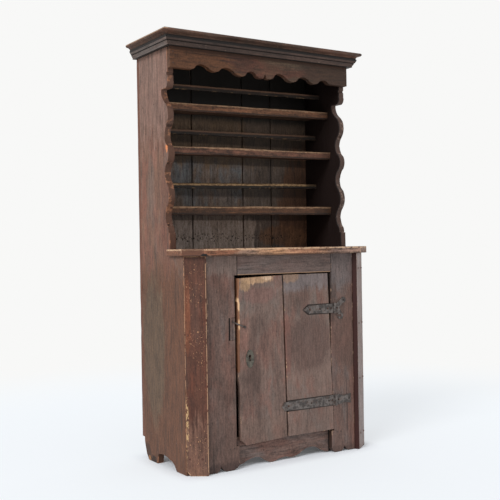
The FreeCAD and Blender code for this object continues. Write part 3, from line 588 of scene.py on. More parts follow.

# %% [markdown]
# ## Old wood
#
# Country cupboards were washed with thin red-brown paint, which wore to bare wood on every
# arris and sank into the grain elsewhere. One picture of old wood would repeat on every
# board, so the finish is built up as a board ages: paint in slow patches, broad marks,
# streaks, cracks, pale flecks, dark edges, bare wood where it is rubbed, and last stains.
# On some boards these last layers also hold painted highlights and painted shade.

# %% Layers of the finish
CRACK = (22, 16, 14)


def laid_over(f, n, colour, looks, streaky, cloudy):
    """Lay each (mask, tone, share) over the colour, with a border torn by the noises."""
    for mask, tone, share in looks:
        torn = mask(f) + (n["streak"] - 0.5) * streaky + (n["cloud"] - 0.5) * cloudy
        colour = f.mix(torn.between(0.3, 0.7) * share, colour, rgb(*tone))
    return colour


def unevenness(n, streaks):
    return (n["cloud"] - 0.5) * 1.1 + (n["streak"] - 0.5) * (1.4 * streaks) \
        + (n["fine"] - 0.5) * 0.4 + (n["speck"] - 0.5) * 1.3 + (n["thread"] - 0.5) * 1.1


def fleck_mask(n, flecks):
    few = 0.73 - 0.035 * flecks
    return n["chip"].between(few, few + 0.03) * n["spread"].between(0.45, 0.62) \
        * min(1.0, flecks)


def wear_mask(f, n, rubbed):
    """Ragged patches beside an arris and a thin broken line on the arris itself."""
    ragged = f.attribute("wear") + (n["torn"] - 0.5) * 1.2 - (1 - rubbed) * 0.9
    cover = n["torn"].between(0.66 - 0.34 * rubbed, 0.74 - 0.34 * rubbed)
    line = f.attribute("wear").between(0.6, 0.84) * cover
    return (ragged.between(0.6, 0.82) * 0.85 + line).least(0.95)


print("cracks are", CRACK)

# %% Weathered wood
def old_wood(name, grain, tones, seed, patches=0.7, streaks=1.0, cracks=0.5, flecks=0.5,
             rubbed=0.4, rough=0.62, worn=None, marks=(), stains_and_painted_light=(), edge=None, strong=1.0):
    """Tones are (main, red, grey, dark, bare); marks and the last stains, which also hold painted
    highlights and painted shade, are (mask, tone, share).
    """
    main, red, grey, dark, bare = (rgb(*tone) for tone in tones)
    f = Finish(name)
    n = board_noises(f, grain, seed)
    colour = f.mix(n["blotch"].between(0.44, 0.64) * patches, main, red)
    colour = f.mix(n["other"].between(0.48, 0.66) * patches, colour, grey)
    colour = f.mix(n["slow"].between(0.5, 0.72) * patches, colour, dark)
    colour = laid_over(f, n, colour, marks, 1.1, 1.3)
    light = (1 + unevenness(n, streaks) * strong).most(0.25)
    colour = f.mix(1.0, colour, light, "MULTIPLY")
    colour = f.mix(n["streak"].between(0.42, 0.3) * streaks * 0.6, colour, dark)
    crack = n["rift"].between(0.325, 0.285) * cracks
    colour = f.mix(crack, colour, rgb(*CRACK))
    fleck = fleck_mask(n, flecks)
    colour = f.mix(fleck, colour, bare)
    if edge:
        tone, share = edge
        side_face = f.attribute("narrow") * (n["streak"] * 0.6 + 0.55).least(1.0)
        colour = f.mix(side_face * share, colour, rgb(*tone))
    colour = f.mix(wear_mask(f, n, rubbed), colour, rgb(*worn) if worn else bare)
    # The last layers are stains, and on some boards painted highlights and painted shade.
    colour = laid_over(f, n, colour, stains_and_painted_light, 0.4, 0.4)
    f.feed(f.shader.inputs["Base Color"], colour)
    f.feed(f.shader.inputs["Roughness"], rough + (n["streak"] - 0.5) * 0.3)
    f.shader.inputs["Specular IOR Level"].default_value = 0.3
    relief = n["streak"] * 0.5 + n["fine"] * 0.45 - crack * 1.3 - fleck * 0.3
    f.feed(f.shader.inputs["Normal"], f.bump(relief, 0.001))
    return f.material


PAINT = {  # main, red, grey, dark and bare tone
    "side": ((112, 81, 66), (118, 76, 62), (104, 87, 78), (80, 60, 48), (170, 132, 104)),
    "post": ((82, 50, 38), (94, 52, 37), (80, 56, 47), (54, 32, 25), (190, 142, 104)),
    # The canted tone of the right post is greyer than the post tone as a painted sheen.
    "canted": ((128, 110, 104), (118, 92, 84), (134, 122, 118), (88, 68, 60), (176, 146, 124)),
    "stile": ((102, 80, 72), (110, 77, 67), (98, 87, 83), (72, 56, 49), (160, 130, 108)),
    "door": ((116, 95, 86), (120, 88, 78), (111, 97, 90), (88, 69, 62), (170, 138, 110)),
    "rack": ((78, 55, 42), (86, 52, 40), (84, 68, 54), (44, 30, 23), (146, 112, 86)),
    "back": ((118, 104, 95), (112, 90, 74), (108, 112, 115), (62, 52, 46), (150, 138, 128)),
    "counter": ((140, 104, 80), (128, 86, 64), (146, 118, 102), (84, 58, 44), (200, 166, 136)),
    "cornice": ((80, 58, 46), (88, 58, 44), (84, 70, 62), (48, 35, 28), (196, 162, 128)),
    "bed": ((98, 86, 80), (92, 73, 65), (102, 96, 93), (58, 47, 43), (140, 120, 104)),
    "inside": ((92, 74, 62), (94, 68, 54), (96, 82, 72), (60, 46, 38), (120, 98, 80)),
}
BLACK = (20, 15, 13)
print("paints", sorted(PAINT))

# %% [markdown]
# ## Masks for marks and stains
#
# A patch of bare wood, a line of grime or a band of painted shade has a place on the board.
# It could be painted on a flat map of each board, but a mask in the cupboard's own metres
# needs no map.

# %% Mask makers
def spot(centre, reach, soft=0.8):
    return lambda f: f.spot(centre, reach, soft)


def chip_at(centre, reach):
    """A spot with a torn outline."""
    return lambda f: f.spot(centre, reach, 0.7) * (f.grain((110, 110, 80), 3, 0.7) * 3.2 - 0.8)


def from_to(axis, low, high):
    """0 at the first place, 1 from the second on."""
    return lambda f: f.axis(axis).between(low, high)


def band(low, high):
    """A step by the share of the board's height."""
    return lambda f: f.attribute("rise").between(low, high)


def edge_face(f):
    return f.attribute("narrow")


def arris(low, high):
    """The same step, on the board's narrow edge alone."""
    return lambda f: f.attribute("rise").between(low, high) * edge_face(f)


def broken(mask, scale=(45, 150, 150), low=0.44, high=0.56):
    """The mask with gaps, as paint wears off in patches."""
    return lambda f: mask(f) * f.grain(scale, 3, 0.7).between(low, high)


print("masks", spot.__name__, chip_at.__name__, band.__name__, arris.__name__)

# %% [markdown]
# ## The sides
#
# Each side is one plank from floor to cornice. The left one shows a brown lower half with a
# green-grey patch, a fresh orange chip on a scallop and a rotten rear foot. The chip could
# be cut from the wood, but it is as thin as the paint, so a stain is enough.

# %% Make the sides
LEFT_FACE = -0.47
left_marks = [
    (from_to("Z", 1.05, 0.62), (90, 58, 40), 0.9),
    (from_to("Z", 1.1, 1.7), (122, 96, 86), 0.7),
    (spot((LEFT_FACE, 0.11, 0.50), (0.1, 0.17, 0.50)), (86, 71, 56), 0.75),
    (spot((LEFT_FACE, -0.02, 1.05), (0.1, 0.08, 0.4)), (96, 62, 50), 0.5),
]
left_stains = [
    (chip_at((LEFT_FACE, -0.038, 1.352), (0.005, 0.016, 0.034)), (206, 128, 82), 1.0),
    (spot((LEFT_FACE, 0.19, 0.02), (0.06, 0.06, 0.09)), (62, 43, 33), 0.8),
    (chip_at((LEFT_FACE, 0.170, 0.008), (0.03, 0.02, 0.022)), (140, 98, 62), 0.9),
    (chip_at((LEFT_FACE, 0.130, 0.010), (0.03, 0.04, 0.03)), (34, 24, 18), 0.9),
]
# The right side's inner face is painted nearly black: painted shade in the rack's recess.
painted_shade_inner_face = (from_to("X", 0.4455, 0.4415), (24, 12, 9), 1.0)
left_finish = old_wood(
    "left_side_wash", "Z", PAINT["side"], 1, worn=(152, 104, 76), rubbed=0.42, streaks=1.1,
    strong=1.1, marks=left_marks, stains_and_painted_light=left_stains, edge=((74, 48, 35), 0.9),
)
right_finish = old_wood(
    "right_side_wash", "Z", PAINT["side"], 2, worn=(128, 106, 94), rubbed=0.4,
    stains_and_painted_light=[painted_shade_inner_face], edge=((58, 45, 40), 0.95),
)
for node, finish in (("left_side_board", left_finish), ("right_side_board", right_finish)):
    print("made", worn_board(node, finish, 0.0025).name)

# %% [markdown]
# ## The door
#
# Hands wore the left door board: bare ochre wood under its top edge, and a pale strip down
# its wavy left edge. The strip could follow the wear value, but real wear is worst at hand
# height, so it gets its own bands. A dark line round the two straps is their painted shadow.

# %% Masks of the door
WOBBLE = 0.014


def door_strip(low, high, foot, head):
    """A wavy upright strip beside the door's left edge."""
    def mask(f):
        across = f.axis("X") + (f.grain((2, 2, 22), 3, 0.65) - 0.5) * WOBBLE
        upright = f.axis("Z").between(foot, foot + 0.05) * f.axis("Z").between(head + 0.05, head)
        return across.between(high + 0.002, high) * across.between(low - 0.002, low) * upright
    return mask


def painted_shadow_round(node, point):
    """Painted shadow along the outline of a strap whose spear point is this long."""
    low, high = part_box(node)
    half, middle = (high.z - low.z) / 2 + 0.0035, (high.z + low.z) / 2

    def mask(f):
        reach = ((f.axis("X") - (low.x - 0.004)) * (half / point)).least(half)
        up = f.axis("Z") - middle
        return (reach - up).between(0.0, 0.002) * (reach + up).between(0.0, 0.002)
    return mask


def leaf_dirt(node):
    low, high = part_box(node)
    reach = ((high.x - low.x) * 0.62, 0.03, (high.z - low.z) * 0.62)
    return spot((low + high) / 2, reach, 0.5), (66, 53, 47), 0.45


# %% Looks of the door
DOOR_FACE, SKIN = -0.202, 0.012  # the marks stay on the outer face
LEFT_DOOR = dict(rubbed=0.3, streaks=0.6, patches=1.0, cracks=0.2, strong=0.9, stains_and_painted_light=[
    (door_strip(-0.30, -0.2290, 0.38, 0.9), (112, 72, 48), 0.85),
    (door_strip(-0.2320, -0.2280, 0.50, 0.9), (160, 112, 78), 0.6),
    (door_strip(-0.2330, -0.2265, 0.64, 0.69), (230, 188, 146), 0.9),
    (door_strip(-0.2330, -0.2265, 0.56, 0.60), (226, 182, 138), 0.9),
], marks=[
    (spot((-0.13, DOOR_FACE, 0.725), (0.15, SKIN, 0.06)), (118, 86, 79), 0.6),
    (spot((-0.150, DOOR_FACE, 0.794), (0.15, SKIN, 0.036)), (186, 150, 116), 0.8),
    (spot((-0.085, DOOR_FACE, 0.798), (0.04, SKIN, 0.02)), (206, 176, 148), 0.8),
    (spot((-0.195, DOOR_FACE, 0.768), (0.045, SKIN, 0.045)), (172, 138, 104), 0.7),
    (from_to("Z", 0.25, 0.15), (108, 86, 76), 0.5),
])
RIGHT_DOOR = dict(LEFT_DOOR, stains_and_painted_light=[
    # the dark outlines of the two straps are painted shadow
    (painted_shadow_round("upper_hinge_strap", 0.03), (34, 27, 24), 0.9),
    (painted_shadow_round("lower_hinge_strap", 0.02), (34, 27, 24), 0.9),
], marks=[
    # the bluish grey near the top is a painted reflection
    (from_to("Z", 0.68, 0.8), (114, 106, 106), 0.7),
    (spot((0.03, DOOR_FACE, 0.80), (0.09, SKIN, 0.045)), (142, 112, 88), 0.6),
    (spot((0.0, -0.2, 0.5), (0.07, 0.1, 0.25)), (120, 82, 72), 0.8),
    (spot((0.13, -0.2, 0.5), (0.2, 0.1, 0.2)), (92, 71, 64), 0.8),
])
print("marks of the door", len(LEFT_DOOR["marks"]), "and", len(RIGHT_DOOR["marks"]))

# %% [markdown]
# ## The cupboard's front
#
# Posts, stiles, rail and apron meet in butt joints, and an old joint shows as a fine black
# line of dirt. Boards that only touch show no line, so it is drawn where the measured boards
# end. Beside the right stile the apron's black band is the painted shadow of the stile's edge,
# and the keeper block's dark sides are painted shadow too. The left post is rubbed most, where
# people brushed past it.

# %% Looks of the posts, stiles, rail and apron
rail_low, rail_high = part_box("top_rail")
TENON = 0.035
left_joint, right_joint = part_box("left_stile")[1].x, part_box("right_stile")[0].x
keeper_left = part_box("keeper_block")[0].x
LEFT_POST = dict(rubbed=0.75, flecks=2.2, worn=(180, 142, 112), marks=[
    (spot((-0.46, -0.18, 0.66), (0.016, 0.1, 0.3)), (122, 70, 44), 0.45),
    (from_to("Z", 0.40, 0.0), (114, 84, 70), 0.6),
    (from_to("Z", 0.06, 0.0), (116, 84, 66), 0.4),
], stains_and_painted_light=[(broken(spot((-0.468, -0.167, 0.20), (0.016, 0.02, 0.22)), (90, 90, 60)),
            (190, 156, 112), 0.85)])
RIGHT_POST = dict(rubbed=0.3, rough=0.45, stains_and_painted_light=[
    (from_to("X", 0.3965, 0.3945), (47, 13, 6), 1.0)])
LEFT_STILE = dict(rubbed=0.25, streaks=0.7, edge=((46, 32, 26), 0.8), marks=[
    (from_to("Z", 0.75, 0.88), (112, 97, 90), 0.7),
    (from_to("Z", 0.3, 0.1), (90, 69, 61), 0.7),
    (from_to("Z", 0.07, 0.0), (62, 47, 43), 0.7)])
RIGHT_STILE = dict(rubbed=0.35, streaks=0.7, edge=((46, 32, 26), 0.85), marks=[
    # the bluish grey near the top is a painted reflection
    (from_to("Z", 0.65, 0.85), (98, 92, 92), 0.6),
    leaf_dirt("upper_hinge_leaf"), leaf_dirt("lower_hinge_leaf"),
    (spot((0.38, -0.2, 0.5), (0.2, 0.1, 0.2)), (90, 68, 60), 0.7),
    (from_to("Z", 0.05, 0.0), (70, 54, 48), 0.5),
], stains_and_painted_light=[(from_to("X", right_joint + 0.0006, right_joint + 0.0002), (52, 36, 29), 0.85)])
TOP_RAIL = dict(rubbed=0.1, marks=[(from_to("Z", 0.7, 0.8), (106, 94, 90), 0.5)], stains_and_painted_light=[
    (from_to("Z", rail_low.z + 0.006, rail_low.z + 0.002), (160, 126, 98), 0.8),
    (from_to("X", rail_low.x + TENON + 0.001, rail_low.x + TENON - 0.002), BLACK, 0.9),
    (from_to("X", rail_high.x - TENON - 0.001, rail_high.x - TENON + 0.002), BLACK, 0.9)])
APRON = dict(rubbed=0.5, flecks=1.8, strong=1.3, stains_and_painted_light=[
    # the black band beside the right stile is the painted shadow of the stile's edge
    (from_to("X", right_joint - 0.005, right_joint - 0.003), BLACK, 1.0),
    (from_to("X", left_joint + 0.004, left_joint + 0.002), BLACK, 0.9)])
# the keeper block's dark sides and the black line at its left are painted shadow
KEEPER = dict(edge=((24, 17, 14), 1.0), stains_and_painted_light=[
    (from_to("X", keeper_left + 0.0035, keeper_left + 0.002), BLACK, 1.0)])
print("door opening from", round(left_joint, 4), "to", round(right_joint, 4))

# %% [markdown]
# ## The counter
#
# The counter was scrubbed, so its front edge is the palest wood of the cupboard, with dark
# remains of old paint. One even pale tone would look new, so the pale line comes and goes
# along the upper arris, and the canted corner stays brown. That pale line is wear and also a
# painted highlight, and the lower arris is painted darker as shade.

# %% Looks of the counter
counter_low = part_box("counter_board")[0]


def counter_ear(f):
    """The canted corner, without the counter's end."""
    return f.axis("X").between(-0.405, -0.415) * f.axis("X").between(
        counter_low.x + 0.002, counter_low.x + 0.006)


COUNTER = dict(rubbed=0.3, streaks=1.4, strong=1.8, marks=[
    (from_to("X", -0.2, -0.32), (122, 78, 56), 0.85),
    (from_to("X", 0.15, 0.3), (132, 108, 98), 0.7),
    (spot((-0.1, -0.2, 0.91), (0.16, 0.1, 0.05)), (164, 122, 88), 0.5),
    (spot((0.05, -0.02, 0.925), (0.3, 0.12, 0.02)), (128, 98, 76), 0.6),
], stains_and_painted_light=[
    (broken(edge_face, (24, 110, 170), 0.58, 0.66), (92, 60, 43), 0.6),
    (from_to("X", -0.41, -0.43), (98, 64, 47), 0.5),
    # the pale upper arris is wear and a painted highlight
    (broken(arris(0.60, 0.92), low=0.4, high=0.5), (212, 178, 144), 0.75),
    (counter_ear, (88, 56, 42), 0.75),
    # the dark lower arris is painted shade
    (arris(0.24, 0.04), (56, 38, 29), 0.8),
    # a black spot under the ear's chipped corner is its painted shadow
    (spot((-0.410, -0.236, 0.899), (0.016, 0.02, 0.008), 0.4), BLACK, 1.0),
])
print("counter starts at", round(counter_low.x, 4))

# %% [markdown]
# ## The rack
#
# The back boards were never painted inside. They are grey-brown below, with a row of old
# holes above the counter. Their finish also paints shade: nearly black under the cornice and
# dark bands just under the shelves and plate rails, and paler grey as painted light at the
# lower left and in the bottom bay.

# %% Looks of the back boards
def bottom(node):
    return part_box(node)[0].z


def painted_shade_under_boards(f):
    """Painted shade just under the shelves and the plate rails."""
    deep = {"lower_shelf": 0.03, "middle_shelf": 0.03, "lower_plate_rail": 0.055,
            "middle_plate_rail": 0.04}
    bands = [f.axis("Z").between(bottom(node) - reach, bottom(node)) * f.axis("Z").between(
        bottom(node) + 0.025, bottom(node) + 0.015) for node, reach in deep.items()]
    return sum(bands[1:], bands[0])


def old_holes(f):
    row = f.spot((-0.10, 0.22, 0.976), (0.65, 0.2, 0.024), 0.5)
    return f.grain((150, 150, 85), 2, 0.6).between(0.57, 0.61) * 1.5 * row


def bottom_bay(f):
    return f.axis("Z").between(1.12, 1.04) * f.axis("X").between(0.24, 0.02)


def fore(looks):
    """The same marks, on the boards' front face alone."""
    return [(lambda f, mask=mask: mask(f) * f.axis("Y").between(0.233, 0.227), tone, share)
            for mask, tone, share in looks]


back_marks = fore([
    (from_to("Z", 1.22, 1.42), (102, 80, 58), 0.85),
    (from_to("X", 0.02, 0.14), (94, 80, 70), 0.7),
    (spot((0.40, 0.22, 1.1), (0.2, 0.2, 0.5)), (96, 64, 44), 0.8),
    (spot((0.30, 0.22, 0.98), (0.25, 0.2, 0.08)), (116, 82, 58), 0.75),
    # the paler grey at the lower left and in the bottom bay is the boards' grey and painted light
    (spot((-0.38, 0.22, 1.0), (0.46, 0.2, 0.15)), (152, 149, 150), 0.9),
    (bottom_bay, (160, 144, 132), 0.8),
])
# painted shade under the shelves, rails and cornice, then the old holes and a brown end
back_stains_and_shade = fore([
    (painted_shade_under_boards, (26, 21, 18), 0.6),
    (from_to("Z", 1.43, 1.62), (20, 16, 13), 0.97),
    (old_holes, (14, 9, 7), 1.0),
]) + [(from_to("X", -0.464, -0.468), (104, 66, 52), 0.95)]
BACK = dict(patches=0.8, cracks=0.9, flecks=0.1, strong=1.3, rubbed=0.1, worn=(58, 48, 42),
            marks=back_marks, stains_and_painted_light=back_stains_and_shade)
print("marks of the back", len(BACK["marks"]), "stains_and_painted_light", len(BACK["stains_and_painted_light"]))

# %% [markdown]
# ## Shelves and plate rails
#
# Plates slid over the front edges for years, so the upper arris of each shelf and rail is
# paler; that pale line is also a painted highlight, and the lower arris and the lower part of
# each rail are painted darker as shade. One tone with a bevel would look new. The right ends
# stand in the shade of the side and are painted darker as that shade.

# %% Looks of the shelves and rails
RIGHT_SHADE, SHADE_TONE = from_to("X", 0.30, 0.46), (26, 20, 17)
# the pale upper arris is wear and painted highlight; the dark lower arris and right ends are
# painted shade
SHELF = dict(rubbed=0.35, worn=(128, 96, 70), flecks=0.8, streaks=1.4, strong=2.0, stains_and_painted_light=[
    (broken(edge_face, (30, 120, 170), 0.55, 0.62), (44, 30, 22), 0.6),
    (arris(0.70, 0.92), (136, 106, 80), 0.55),
    (broken(arris(0.66, 0.88)), (160, 128, 98), 0.6),
    (arris(0.3, 0.08), (34, 24, 18), 0.85),
    (RIGHT_SHADE, SHADE_TONE, 0.35),
])
LOW_SHELF = dict(SHELF, marks=[(edge_face, (72, 46, 28), 0.8)])
MID_SHELF = dict(SHELF, marks=[(edge_face, (96, 62, 48), 0.7)])
HIGH_SHELF = dict(SHELF, marks=[(edge_face, (104, 68, 46), 0.8)])
# a rail's lower part is painted dark as shade and its upper part paler as a highlight
RAIL = dict(rubbed=0.4, worn=(124, 98, 70), flecks=0.5, streaks=1.4, strong=1.9,
            marks=[(band(0.8, 0.4), (36, 27, 21), 0.95)],
            stains_and_painted_light=[(band(0.55, 0.8), (104, 76, 58), 0.7), (RIGHT_SHADE, SHADE_TONE, 0.75)])
LOW_RAIL = dict(RAIL, marks=[(band(0.7, 0.4), (22, 16, 12), 0.95)], stains_and_painted_light=[
    (band(0.45, 0.7), (126, 98, 68), 0.8),
    (broken(band(0.4, 0.65)), (180, 146, 104), 0.65),
    (RIGHT_SHADE, SHADE_TONE, 0.75),
])
print("lower shelf at", round(bottom("lower_shelf"), 4))

# %% [markdown]
# ## Valance and cornice
#
# The cornice is a flat cap over mitred bed mouldings, painted darker than the sides. The
# steps are real, and each gets a fine black line of painted shade in its corner, as does the
# underside of the cap. The front moulding is painted darker than the returns as shade, and
# the upper arris of the left return is paler as wear and as a painted highlight.

# %% Looks of the valance and the cornice
cap_low = bottom("cornice_cap")
bed_low, bed_high = (corner.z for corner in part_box("front_bed_moulding"))
# black lines of painted shade in the steps of the bed moulding
bed_shade_lines = [
    (from_to("Z", bed_high - 0.010, bed_high - 0.006), BLACK, 0.95),
    (from_to("Z", bed_low + 0.003, bed_low), BLACK, 0.9),
    (spot((-0.47, 0, 0.5 * (bed_low + bed_high)), (2, 2, 0.0035), 0.4), BLACK, 0.7),
]


# The pale upper arris of the left return is wear and a painted highlight.
def left_return_wear_and_highlight(f):
    return arris(0.6, 0.8)(f) * f.axis("X").between(-0.49, -0.51)


BED = dict(rubbed=0.1, stains_and_painted_light=bed_shade_lines)
# The front moulding is painted darker than the side returns as shade.
FRONT_BED = dict(BED, marks=[
    (from_to("X", -0.9, -0.6), (62, 47, 40), 0.9), (from_to("X", -0.2, 0.2), (76, 58, 50), 0.7)])
CAP = dict(rubbed=0.6, strong=1.4, stains_and_painted_light=[
    # the cap's underside is painted black as shade
    (from_to("Z", cap_low + 0.006, cap_low + 0.003), BLACK, 0.95),
    (left_return_wear_and_highlight, (176, 144, 116), 0.7)])
VALANCE = dict(rubbed=0.1, streaks=0.8, patches=0.9, strong=1.3, marks=[
    (from_to("X", 0.0, -0.35), (92, 58, 36), 0.75), (from_to("X", 0.1, 0.4), (57, 40, 30), 0.8),
], stains_and_painted_light=[(from_to("Z", 1.745, 1.768), (56, 34, 22), 0.8)])
print("cornice cap from", round(cap_low, 4), "bed moulding from", round(bed_low, 4))

# %% [markdown]
# ## Every other board
#
# One table holds the paint, the direction of the grain, the seed and the look of each board.
# A call for each would repeat one line thirty times. Shelves and rails also sway a little,
# since thin boards never stay straight.

# %% Make the boards
BACK_BOARDS = ["outer_left", "inner_left", "inner_right", "outer_right"]
BOARDS = [
    ("left_corner_post", "post", "Z", 3, LEFT_POST),
    ("right_corner_post", "canted", "Z", 4, RIGHT_POST),
    ("left_stile", "stile", "Z", 5, LEFT_STILE), ("right_stile", "stile", "Z", 6, RIGHT_STILE),
    ("top_rail", "stile", "X", 7, TOP_RAIL), ("scalloped_apron", "stile", "X", 8, APRON),
    ("left_door_board", "door", "Z", 9, LEFT_DOOR),
    ("right_door_board", "door", "Z", 10, RIGHT_DOOR),
    ("upper_door_batten", "inside", "X", 11, {}), ("lower_door_batten", "inside", "X", 12, {}),
    ("counter_board", "counter", "X", 13, COUNTER),
    ("lower_shelf", "rack", "X", 14, LOW_SHELF), ("middle_shelf", "rack", "X", 15, MID_SHELF),
    ("upper_shelf", "rack", "X", 16, HIGH_SHELF), ("lower_plate_rail", "rack", "X", 17, LOW_RAIL),
    ("middle_plate_rail", "rack", "X", 18, RAIL), ("upper_plate_rail", "rack", "X", 19, RAIL),
    *[(side + "_back_board", "back", "Z", 20 + i, BACK) for i, side in enumerate(BACK_BOARDS)],
    ("valance", "rack", "X", 24, VALANCE), ("cornice_cap", "cornice", "X", 25, CAP),
    ("front_bed_moulding", "bed", "X", 26, FRONT_BED), ("left_bed_moulding", "bed", "Y", 27, BED),
    ("right_bed_moulding", "bed", "Y", 28, BED),
    ("cupboard_floor", "inside", "X", 29, {}), ("floor_bearer", "inside", "X", 30, {}),
    ("inner_shelf", "inside", "X", 31, {}), ("shelf_cleats", "inside", "Y", 32, {}),
    ("counter_cleats", "inside", "Y", 33, {}), ("keeper_block", "stile", "Z", 34, KEEPER),
]
SWAYING = {level + kind for level in ("lower", "middle", "upper")
           for kind in ("_shelf", "_plate_rail")}
for node, paint, grain, seed, looks in BOARDS:
    finish = old_wood(node + "_finish", grain, PAINT[paint], seed, **looks)
    worn_board(node, finish, wave=0.003 if node in SWAYING else 0.0)
print("boards", len(BOARDS))

# %% [markdown]
# ## Wrought iron
#
# Hinges, latch and nails were hammered from bar, so their faces are slightly dished, and the
# iron is near black with a brown bloom of rust. The dishes could be modelled, but they are
# under a millimetre deep, so a bump is enough.

# %% Iron
def hammered_iron(name, tones, rust=0.4, rough=0.55):
    """Tones are (dark, pale, rust)."""
    dark, pale, brown = (rgb(*tone) for tone in tones)
    f = Finish(name)
    slow = f.grain((48, 48, 48), 4, 0.6)
    fine = f.grain((170, 170, 170), 3, 0.6)
    colour = f.mix(slow.between(0.4, 0.62), dark, pale)
    colour = f.mix(fine.between(0.5, 0.7) * 0.5, colour, dark)
    bloom = f.grain((60, 60, 60), 3, 0.6, (4, 2, 7)).between(0.52, 0.66)
    colour = f.mix(bloom * rust, colour, brown)
    f.feed(f.shader.inputs["Base Color"], colour)
    f.shader.inputs["Metallic"].default_value = 0.25
    f.feed(f.shader.inputs["Roughness"], rough + (fine - 0.5) * 0.3)
    f.feed(f.shader.inputs["Normal"], f.bump(slow * 0.6 + fine * 0.4, 0.0011))
    return f.material


iron = hammered_iron("iron", ((60, 54, 51), (108, 100, 96), (88, 66, 56)))
plate_iron = hammered_iron("plate_iron", ((60, 57, 50), (98, 93, 82), (84, 62, 48)), 0.3)
rusty = hammered_iron("rusty_nail_iron", ((30, 23, 20), (56, 44, 38), (88, 54, 38)), 0.7, 0.7)
print("iron", iron.name, plate_iron.name, rusty.name)

# %% [markdown]
# ## Nail heads
#
# A wrought nail has a small hammered head that stands just proud of the board. Each head is
# a low cone with a few sides, turned at random, set on the measured end of its nail. A round
# head would look like a modern wire nail. Nails that were painted over take the colour of
# their board.

# %% Nail heads
FACETS = 7
FLUSH, PROUD = 0.0008, 0.002  # how far a head stands out
SUNK = 0.0009


def nail_heads(group, finish, swell=1.0, height=FLUSH):
    dice = random.Random(len(group))
    heads = bmesh.new()
    for head, direction, _, radius in driven[group]:
        made = bmesh.ops.create_cone(heads, cap_ends=True, segments=FACETS,
                                     radius1=radius * swell, radius2=radius * swell * 0.5,
                                     depth=height + SUNK)
        turn = (-direction).to_track_quat("Z", "Y").to_matrix()
        spin = Matrix.Rotation(dice.uniform(0, math.tau), 3, "Z")
        for matrix in (spin, turn):
            bmesh.ops.rotate(heads, verts=made["verts"], cent=(0, 0, 0), matrix=matrix)
        bmesh.ops.translate(heads, verts=made["verts"], vec=head - direction * 0.0002)
    return show(heads, group + "_heads", finish, group)


def painted_nail(name, tone):
    pale = tuple(1.18 * part for part in tone)
    return hammered_iron(name, (tone, pale, (70, 48, 38)), 0.35, 0.6)


NAIL_PAINT = {
    "side_nails": (84, 62, 53), "post_nails": (84, 50, 40), "valance_nails": (58, 40, 32),
    "apron_nails": (66, 52, 46), "batten_nails": (96, 78, 70), "counter_nails": (90, 62, 48),
    "cap_nails": (60, 46, 40), "bed_moulding_nails": (70, 58, 52), "block_nails": (70, 56, 50),
    "back_nails": (62, 50, 42), "cleat_nails": (52, 40, 34),
}
for group in NAIL_GROUPS:
    if group in NAIL_PAINT:
        nail_heads(group, painted_nail(group + "_iron", NAIL_PAINT[group]))
    else:
        nail_heads(group, rusty, 1.05, PROUD if group in ("strap_nails", "leaf_nails") else FLUSH)
print("nail groups", len(NAIL_GROUPS), "painted", len(NAIL_PAINT))

# %% [markdown]
# ## Iron pieces
#
# Straps, leaves, pins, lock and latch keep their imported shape, because iron wears far less
# than wood. They only get the finish. The keyhole plate was cut from other iron and is a
# little greener than the hinges.

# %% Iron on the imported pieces
for node in sorted(nodes):
    if nodes[node].hide_render:
        continue
    nodes[node].data.materials.clear()
    nodes[node].data.materials.append(plate_iron if node == "escutcheon" else iron)
    print("iron on", node)

# %% [markdown]
# ## Floor and backdrop
#
# The cupboard stands in a bright studio, on a floor that runs into a white backdrop. A plain
# white plane would show its horizon. This floor takes the cupboard's shadow and glows more
# with the distance, until it matches the backdrop. Under the cupboard its glow is cut away,
# which paints the shadow there darker.

# %% Floor
BACKDROP = (248, 248, 247)
FADE_START, FADE_END = 1.4, 3.4  # metres from the cupboard
SHADOW_FOOTPRINT = (("X", 0.55, 0.46, -0.55, -0.46), ("Y", 0.33, 0.24, -0.29, -0.20))


def studio_floor():
    f = Finish("studio_floor")
    f.shader.inputs["Base Color"].default_value = rgb(243, 248, 254)
    f.shader.inputs["Roughness"].default_value = 0.9
    fade = f.length(f.place).between(FADE_START, FADE_END)
    tint = f.mix(fade, rgb(246, 250, 253), rgb(*BACKDROP))
    sides = [f.axis(axis).between(a, b) * f.axis(axis).between(c, d)
             for axis, a, b, c, d in SHADOW_FOOTPRINT]
    # no glow under the cupboard: a painted shadow
    under = sides[0] * sides[1]
    glow = f.node("ShaderNodeEmission", {}, {"Color": tint, "Strength": 1.0})
    both = f.node("ShaderNodeMixShader", {}, {0: (fade * 0.4 + 0.6) * (1 - under * 0.9)})
    mixer = both.socket.node
    f.tree.links.new(f.shader.outputs[0], mixer.inputs[1])
    f.feed(mixer.inputs[2], glow)
    f.feed(f.tree.nodes["Material Output"].inputs["Surface"], both)
    return f.material


floor_shape = bmesh.new()
bmesh.ops.create_grid(floor_shape, x_segments=2, y_segments=2, size=14)
floor_mesh = bpy.data.meshes.new("floor")
floor_shape.to_mesh(floor_mesh)
floor_shape.free()
floor = bpy.data.objects.new("floor", floor_mesh)
bpy.context.scene.collection.objects.link(floor)
floor_mesh.materials.append(studio_floor())
print("floor", len(floor_mesh.polygons), "faces")

# %% [markdown]
# ## Light
#
# A studio wraps an object in soft light with one brighter side. Many lamps could do that,
# but an even world and one wide lamp give the same with nothing to balance. The camera and
# shiny surfaces see a white backdrop, while the world lights the boards at a softer level.

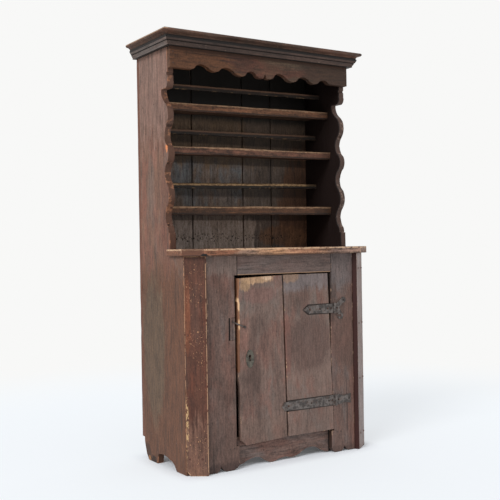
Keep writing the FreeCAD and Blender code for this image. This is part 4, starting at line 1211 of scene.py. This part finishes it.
# %% World
AMBIENT = 0.69
world = bpy.data.worlds.new("studio")
bpy.context.scene.world = world
world.use_nodes = True
tree = world.node_tree
ambient = tree.nodes["Background"]
ambient.inputs["Color"].default_value = (1, 1, 1, 1)
ambient.inputs["Strength"].default_value = AMBIENT
seen = tree.nodes.new("ShaderNodeBackground")
seen.inputs["Color"].default_value = rgb(*BACKDROP)
seen.inputs["Strength"].default_value = 1.0
path = tree.nodes.new("ShaderNodeLightPath")
choose = tree.nodes.new("ShaderNodeMixShader")
either = tree.nodes.new("ShaderNodeMath")
either.operation = "MAXIMUM"
for source, goal in (
    (path.outputs["Is Camera Ray"], either.inputs[0]),
    (path.outputs["Is Glossy Ray"], either.inputs[1]),
    (either.outputs[0], choose.inputs[0]), (ambient.outputs[0], choose.inputs[1]),
    (seen.outputs[0], choose.inputs[2]),
    (choose.outputs[0], tree.nodes["World Output"].inputs["Surface"]),
):
    tree.links.new(source, goal)
print("world", AMBIENT)

# %% Lamp
LIGHT_TRAVEL = Vector((1.0, 0.45, -0.75))
lamp = bpy.data.lights.new("window_light", "SUN")
lamp.energy = 0.55 * math.pi
lamp.angle = math.radians(25)
window = bpy.data.objects.new("window_light", lamp)
bpy.context.scene.collection.objects.link(window)
window.rotation_euler = LIGHT_TRAVEL.to_track_quat("-Z", "Y").to_euler()
print("window light", round(lamp.energy, 3))

# %% [markdown]
# ## Camera
#
# The cupboard is seen from its left at about the height of the counter, from far enough away
# that its uprights stay nearly parallel. A closer camera would lean the sides outward.

# %% Camera
FOCAL_LENGTH, SENSOR_WIDTH = 62.3704, 36.0  # millimetres
CAMERA_PLACE = (-2.14384, -3.27433, 0.93018)
CAMERA_TURN = (1.567063, 0.016072, -0.571339)
view = bpy.data.cameras.new("camera")
view.lens = FOCAL_LENGTH
view.sensor_width = SENSOR_WIDTH
camera = bpy.data.objects.new("camera", view)
bpy.context.scene.collection.objects.link(camera)
camera.location = CAMERA_PLACE
camera.rotation_euler = CAMERA_TURN
bpy.context.scene.camera = camera
bpy.context.scene.view_settings.view_transform = "Standard"
print("camera", [round(v, 3) for v in camera.location])
